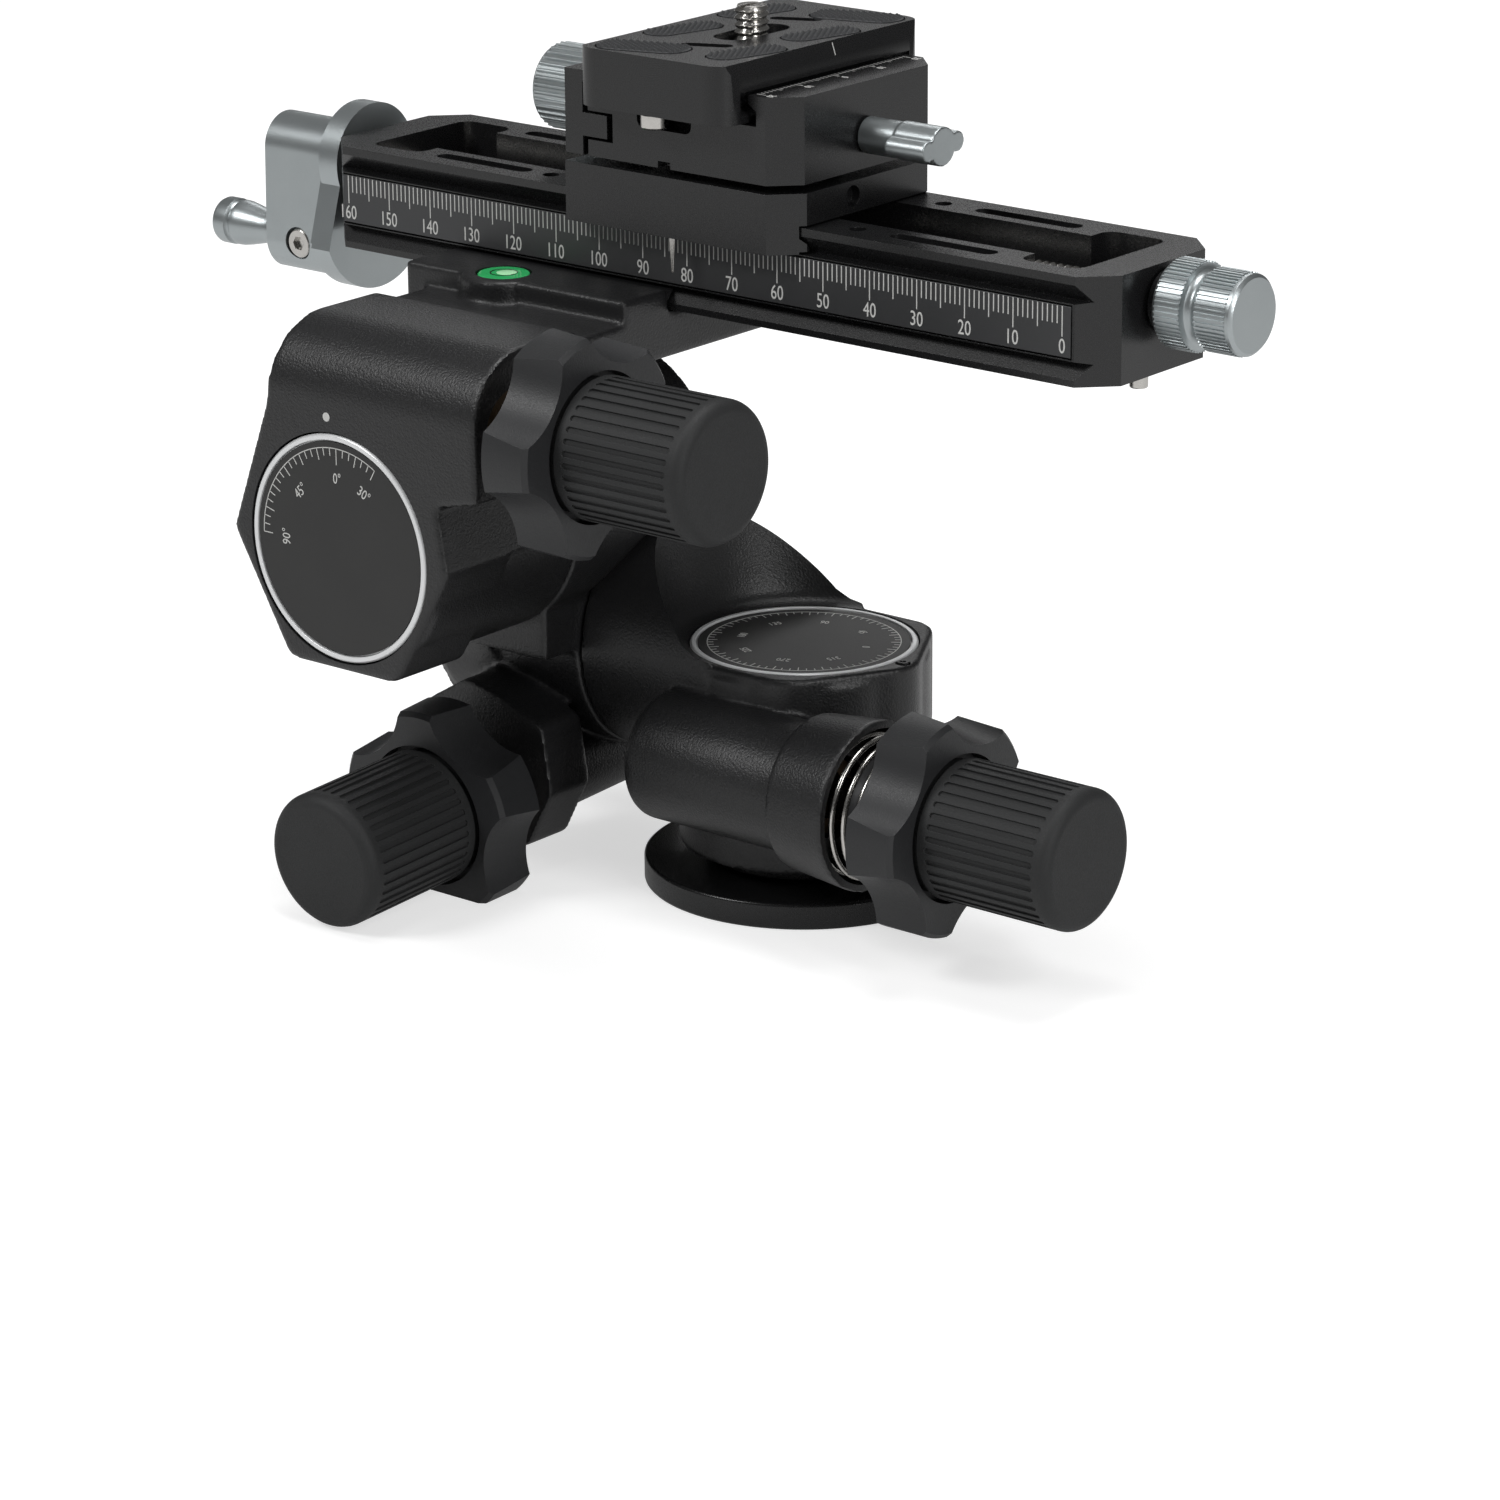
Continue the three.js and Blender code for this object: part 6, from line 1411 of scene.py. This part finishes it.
slide = {
    "left": -35.4, "right": 14.4, "half": 21.8, "low": 119.95, "top": 130.5, "under": 124.9, "inner": 17.75,
    "chamfer": 5.0, "lip": (1.6, 120.4, 121.1, 122.7), "lock": (-4.2, 127.8, 1.9, 1.6),
    "pointer": (-11.7, 0.6, 0.4, 113.9, 124.0, 0.9), "skin": 0.35, "slotPlay": 0.05,
}
mount = {"x": -10.3, "spread": 9.0, "radius": 1.9, "barWidth": 5.2, "barHeight": 1.3, "depth": 5.0}
clamp = {
    "left": -30.0, "right": 14.2, "half": 21.8, "low": 132.0, "floor": 141.9, "top": 147.1, "chamfer": 4.7,
    "jaw": 5.8, "undercut": (7.5, 144.5, 145.6), "spacer": 15.0, "tongue": (-24.4, 134.9, 140.0),
    "recess": (-18.9, -6.8, 138.6, 6.0), "recessRound": 1.6, "notch": (-14.3, -11.5, 133.2, 2.4), "bolt": 137.8,
    "boltRadius": 1.8, "boltEnd": -52.0,
}
clampTicks = {
    "rows": ((0.9, 1.0, 5.0, 8), (1.4, 5.0, 10.0, 4), (1.9, 0.0, 10.0, 5)),    # length, first, step and how many
    "reach": 20, "margin": 0.5, "half": 0.07, "sunk": 0.05, "proud": 0.025,
    "numberOff": 3.6, "height": 1.45, "lift": 0.005,
}
leftJaw = {
    "outer": -35.2, "inner": -31.2, "tongueEnd": -25.7, "tongueLow": 135.4, "tongueHigh": 139.5, "top": 146.9,
    "lip": (1.7, 144.9, 145.9), "tongueHalf": 21.8,
}
boltLine = moved(alongXLine, 0, 0, clamp["bolt"])


def clippedPlan(part):
    left, right, w, c = part["left"], part["right"], part["half"], part["chamfer"]
    return [(left, -w), (right - c, -w), (right, -w + c), (right, w - c), (right - c, w), (left, w)]


def studBodies(play):
    half = mount["barWidth"] / 2 + play
    low = clamp["floor"] - room - mount["barHeight"] - play
    top = clamp["floor"] - room + play * 2
    x, reach = mount["x"], mount["spread"] + half
    bodies = [block(x - half, x + half, -reach, reach, low, top)]
    for side in (-1, 1):
        spot = Matrix.Translation((x, side * mount["spread"], 0))
        bodies.append(rod(mount["radius"] + play, slide["top"] - mount["depth"] + room - play, low + room, spot, 48))
    return bodies


def makeCarriage():
    s = slide
    w, inner = s["half"], s["inner"]
    depth, low, middle, high = s["lip"]
    half = [
        (0, s["low"] - past), (inner, s["low"] - past), (inner, low), (inner - depth, low), (inner - depth, middle),
        (inner, high), (inner, s["under"]),
    ]
    outline = half + [(-y, z) for y, z in reversed(half[1:])]
    y, z, radius, sink = s["lock"]
    px, ph, pt, pLow, pTop, pSlot = s["pointer"]
    face = -w + s["skin"]
    tools = [
        prism(outline, s["left"] - past, s["right"] + past, alongXLine),
        rod(radius, s["right"] - sink, s["right"] + past, moved(alongXLine, 0, y, z), 48),
        block(px - pSlot, px + pSlot, face - s["slotPlay"], face + pt + room, s["low"] - past, pTop + room),
    ]
    for side in (-1, 1):
        spot = Matrix.Translation((mount["x"], side * mount["spread"], 0))
        tools.append(rod(mount["radius"] + room, s["top"] - mount["depth"], s["top"] + past, spot, 48))
    body = cut(prism(clippedPlan(s), s["low"], s["top"]), *tools)
    finishPiece("carriage", body, "blackAnodise", "slider", "anodised_black", ["carriage"], edge=0.4, steps=3)
    point = prism([
        (px - ph, pTop), (px - ph, s["low"]), (px - ph / 3, pLow), (px + ph / 3, pLow), (px + ph, s["low"]),
        (px + ph, pTop),
    ], -face - pt, -face, towardsFront)
    finishPiece("scalePointer", point, "polishedSteel", "slider", "bright_steel", ["scale_pointer"], edge=0.1)


def makeClamp():
    c = clamp
    w = c["half"]
    x, low, under = c["undercut"]
    channel = prism([
        (c["left"] - past, c["floor"]), (x, c["floor"]), (x, low), (c["jaw"], under), (c["jaw"], c["top"] + past),
        (c["left"] - past, c["top"] + past),
    ], -w - past, w + past, towardsFront)
    left, right, z, deep = c["recess"]
    above = c["floor"] + 2 * past
    recess = prism(
        roundedOutline([(left, z), (right, z), (right, above), (left, above)], c["recessRound"], 6),
        w - deep, w + past, towardsFront,
    )
    nLeft, nRight, nTop, nDeep = c["notch"]
    tEnd, tLow, tHigh = c["tongue"]
    h = leftJaw["tongueHalf"]
    whole = join(
        prism(clippedPlan(c), c["low"], c["top"]),
        rod(c["spacer"], slide["top"] + room, c["low"] + lap, Matrix.Translation((mount["x"], 0, 0)), 96),
    )
    whole = cut(
        whole, channel, recess, block(nLeft, nRight, -w - past, -w + nDeep, c["low"] - past, nTop),
        block(c["left"] - past, tEnd, -h - room, h + room, tLow, tHigh),
        rod(c["boltRadius"] + room, c["left"] - past, c["right"] + past, boltLine, 48),
    )
    whole = cut(whole, *studBodies(room))
    finishPiece("clampBlock", whole, "blackAnodise", "slider", "anodised_black", ["clamp_block"], edge=0.4, steps=3)
    marks, t = [], clampTicks
    top, edge = c["top"], c["jaw"] + t["margin"]
    for length, first, step, count in t["rows"]:
        tick = block(edge, edge + length, -t["half"], t["half"], top - t["sunk"], top + t["proud"])
        tick.data.transform(Matrix.Translation((0, first - t["reach"], 0)))
        if first == 1.0:
            tick = grow("row", tick, "whiteMark", count=4, step=(0.0, 1.0, 0.0))
        marks.append(grow("row", tick, "whiteMark", count=count, step=(0.0, step, 0.0)))
    for i in range(-2, 3):
        centre = (c["jaw"] + t["numberOff"], 10 * i, top + t["lift"])
        marks.append(numeral(str(abs(10 * i)), t["height"], centre, (0, -1, 0), (1, 0, 0)))
    finishPiece("clampMarks", gather(marks), "whiteMark", "slider", "anodised_black", edge=0, dissolve=False)


def makeLeftJaw():
    j, w = leftJaw, clamp["half"]
    reach, low, slope = j["lip"]
    bar = prism([
        (j["outer"], clamp["low"]), (j["inner"], clamp["low"]), (j["inner"], low), (j["inner"] + reach, slope),
        (j["inner"] + reach, j["top"]), (j["outer"], j["top"]),
    ], -w, w, towardsFront)
    h = j["tongueHalf"]
    body = join(bar, block(j["inner"] - lap, j["tongueEnd"], -h, h, j["tongueLow"], j["tongueHigh"]))
    body = cut(body, rod(clamp["boltRadius"] + room, j["outer"] - past, clamp["tongue"][0], boltLine, 48))
    finishPiece("clampJaw", body, "blackAnodise", "plate_jaw", "anodised_black", ["clamp_jaw"], edge=0.4, steps=3)


clampKnob = {
    "start": -37.4, "end": -55.8, "radius": 7.8, "neck": 5.0, "gap": 0.6, "ribs": 36, "depth": 0.4, "round": 0.8,
}


def makeClampKnob():
    k = clampKnob
    r, root, neckEnd = k["radius"], k["radius"] - k["depth"], leftJaw["outer"] - k["gap"]
    core = turned([
        (0, k["end"]), (r - k["round"], k["end"]), (root, k["end"] + k["round"] * 0.5), (root, k["start"]),
        (r - k["round"], k["start"]), (k["neck"], k["start"]), (k["neck"], neckEnd), (0, neckEnd),
    ], steps=144)
    grip = ribbed(r, k["depth"], k["ribs"], k["end"] + k["round"], k["start"] - k["round"], "satinAlloy")
    hole = rod(clamp["boltRadius"] + room, clamp["boltEnd"] - room, leftJaw["outer"] + past, steps=48)
    body = cut(join(core, grip), hole)
    body.data.transform(boltLine)
    finishPiece("clampKnob", body, "satinAlloy", "plate_knob", "silver_alloy", ["clamp_knob"], edge=0.1, crease=32)


wing = {
    "stem": 3.2, "stemStart": 14.7, "softStart": 15.0, "crispEnd": 16.2, "start": 22.3, "end": 30.6, "reach": 5.8,
    "lobe": 1.8, "hub": 3.4, "lobes": 2, "phase": 4.0, "voxel": 0.22, "ease": 4,
}


def makeWing():
    w = wing
    parts = [
        rod(w["hub"], w["start"], w["end"], boltLine), rod(w["stem"], w["softStart"], w["start"] + lap, boltLine),
    ]
    for i in range(w["lobes"]):
        turn = math.radians(w["phase"]) + i * fullTurn / w["lobes"]
        spot = boltLine @ Matrix.Rotation(turn, 4, "Z") @ Matrix.Translation((w["reach"] - w["lobe"], 0, 0))
        parts.append(rod(w["lobe"], w["start"], w["end"], spot))
    body = softenCasting(join(parts[0], *parts[1:]), w["voxel"], w["ease"])
    shank = rod(clamp["boltRadius"], clamp["boltEnd"], w["stemStart"] + lap, boltLine, 48)
    body = join(body, rod(w["stem"], w["stemStart"], w["crispEnd"], boltLine), shank)
    finishPiece(
        "wingLever", body, "satinAlloy", "plate_lever", "silver_alloy", ["wing_lever"], edge=0, crease=50,
        dissolve=False,
    )


makeCarriage()
makeClamp()
makeLeftJaw()
makeClampKnob()
makeWing()
print("carriage and clamp made")


# camera plate

plate = {
    "left": -28.2, "right": 5.4, "half": 27.7, "top": 152.5, "low": 142.3, "chamfer": 1.0, "bevel": 149.6,
    "grooveHigh": 147.6, "groove": 1.9, "footHigh": 144.4, "footLow": 143.4, "lip": 4.4, "corner": 5.0,
    "slot": (8.4, 3.5), "screwX": -11.1, "counter": (6.0, 4.6), "padDepth": 2.0,
    "curved": (9.4, 2.7, 1.2, 13.7, 24.0),
}
plateMark = {"half": 0.1, "reach": 1.1, "sunk": 0.05, "proud": 0.03, "y": 2.6}
pads = {
    "rise": 0.5, "body": 0.12, "pitch": 0.86, "radius": 0.56, "rows": 30, "margin": 0.35, "sunk": 0.05,
    "link": (1.6, 0.8, 0.3),            # width, thickness and height over the pockets' floor
    "spots": (                          # place, turn, length and width
        (-6.2, -21.6, 16, 17.0, 8.2), (-10.9, -5.4, 76, 15.4, 6.2), (-10.9, 14.8, 76, 15.4, 6.2),
        (6.2, 21.6, 16, 17.0, 8.2), (10.9, 5.4, 76, 15.4, 6.2), (10.9, -14.8, 76, 15.4, 6.2),
    ),
}
stud = {
    "radius": 3.1, "head": 5.6, "thick": 2.6, "low": 143.2, "top": 157.4, "socket": (2.4, 1.2), "slot": (0.45, 0.7),
    "pitch": 1.27, "depth": 0.62, "chamfer": 0.8, "threadEnd": 157.35, "coreEnd": 157.34,
}
stopPin = {
    "x": -12.9, "y": -24.2, "radius": 1.4, "head": 2.4, "headRound": 0.3, "low": 139.5, "high": 142.0, "top": 147.0,
}


def padSpot(x, y, turn):
    return Matrix.Translation((plate["screwX"] + x, y, 0)) @ Matrix.Rotation(math.radians(turn), 4, "Z")


def padBodies(play, top):
    low = plate["top"] - plate["padDepth"] - play
    bodies = []
    for i, (x, y, turn, length, width) in enumerate(pads["spots"]):
        bodies.append(prism(slotOutline(length / 2 + play, width / 2 + play, 20), low, top, padSpot(x, y, turn)))
        if i:
            px, py = pads["spots"][i - 1][:2]
            half = math.hypot(x - px, y - py) / 2
            spot = padSpot((x + px) / 2, (y + py) / 2, math.degrees(math.atan2(y - py, x - px)))
            wide, tall, lift = pads["link"]
            side = wide / 2 + play
            rise = low + play + lift
            bodies.append(block(-half, half, -side, side, rise - play, rise + tall + play, spot))
    return bodies


def makePlate():
    p = plate
    h, lip = p["half"], p["lip"]
    plan = roundedOutline([(p["left"], -h), (p["right"], -h), (p["right"], h), (p["left"], h)], p["corner"], 10)
    body = prism(plan, p["low"], p["top"])
    tools = []
    low, top, beyond = p["low"] - past, p["top"] + past, h + past
    for side, x in ((1, p["left"]), (-1, p["right"])):
        out, deep, inward = x - side * past, x + side * p["groove"], x + side * p["chamfer"]
        profile = [
            (out, p["grooveHigh"]), (x, p["grooveHigh"]), (deep, p["grooveHigh"] - p["groove"]),
            (deep, p["footHigh"]), (x, p["footLow"]), (out, p["footLow"]),
        ]
        tools.append(prism(profile, -h + lip, h - lip, towardsFront))
        rim = [(out, top), (out, p["bevel"]), (x, p["bevel"]), (inward, p["top"]), (inward, top)]
        tools.append(prism(rim, -beyond, beyond, towardsFront))
    length, width = p["slot"]
    wide, deep = p["counter"]
    pinSpot = Matrix.Translation((stopPin["x"], stopPin["y"], 0))
    tools += [
        prism(slotOutline(length, width), low, top, padSpot(0, 0, 90)),
        prism(slotOutline(length + wide - width, wide), low, p["low"] + deep, padSpot(0, 0, 90)),
        rod(stopPin["radius"] + room, low, stopPin["top"] + room, pinSpot, 48),
    ]
    long, across, cx, cy, turn = p["curved"]
    for side in (1, -1):
        tools.append(prism(slotOutline(long / 2, across / 2), low, top, padSpot(side * cx, -side * cy, turn)))
    body = cut(body, *tools)
    for tool in padBodies(room, top):
        body = cut(body, tool)
    finishPiece("quickPlate", body, "blackAnodise", "plate", "anodised_black", ["quick_plate"], edge=0.4, steps=3)
    m, rise = plateMark, math.atan2(p["top"] - p["bevel"], p["chamfer"])
    centre = (p["right"] - p["chamfer"] / 2, m["y"], (p["top"] + p["bevel"]) / 2)
    spot = frameAt(centre, (0, 1, 0), (-math.cos(rise), 0, math.sin(rise)))
    mark = block(-m["half"], m["half"], -m["reach"], m["reach"], -m["sunk"], m["proud"], spot)
    finishPiece("plateIndexMark", mark, "whiteMark", "plate", "anodised_black", edge=0)


def makePads():
    p = pads
    base = plate["top"] + p["body"]
    bodies = padBodies(0, base)
    whole = join(bodies[0], *bodies[1:])
    for x, y, turn, length, width in p["spots"]:
        studs = grow(
            "studs", None, "padRubber", halflength=length / 2 - p["margin"], halfwidth=width / 2 - p["margin"],
            pitch=p["pitch"], rows=p["rows"], studradius=p["radius"],
            studheight=p["rise"] - p["body"] + p["sunk"], rowangle=math.radians(45.0),
        )
        studs.data.transform(Matrix.Translation((0, 0, base - p["sunk"])) @ padSpot(x, y, turn))
        whole = gather([whole, studs])
    finishPiece("platePads", whole, "padRubber", "plate", "pad_rubber", ["plate_pads"], edge=0, dissolve=False)


def makeCameraScrew():
    s = stud
    r, low, top, shoulder = s["radius"], s["low"], s["top"], s["low"] + s["thick"]
    rope = threaded(r, s["depth"], s["pitch"], shoulder + s["chamfer"], s["threadEnd"], None, 48, 10)
    tip = turned([(0, shoulder), (r, shoulder), (r, top - s["chamfer"]), (r - s["chamfer"], top), (0, top)])
    body = join(
        meet(rope, tip), rod(r - s["depth"], shoulder - lap, s["coreEnd"], steps=64), rod(s["head"], low, shoulder),
    )
    socket, socketDepth = s["socket"]
    half, slotDepth = s["slot"]
    body = cut(
        body, prism(polygon(6, socket), low - past, low + socketDepth),
        block(-half, half, -s["head"], s["head"], top - slotDepth, top + past),
    )
    body.data.transform(Matrix.Translation((plate["screwX"], 0, 0)))
    finishPiece(
        "cameraScrew", body, "polishedSteel", "camera_stud", "bright_steel", ["camera_screw"], edge=0.04, crease=40,
    )
    q = stopPin
    pin = turned([
        (0, q["low"]), (q["head"] - q["headRound"], q["low"]), (q["head"], q["low"] + q["headRound"]),
        (q["head"], q["high"]), (q["radius"], q["high"]), (q["radius"], q["top"]), (0, q["top"]),
    ], Matrix.Translation((q["x"], q["y"], 0)), 64)
    finishPiece("plateStopPin", pin, "polishedSteel", "plate", "bright_steel", ["plate_stop_pin"], edge=0.08)


makePlate()
makePads()
makeCameraScrew()
print("camera plate made")
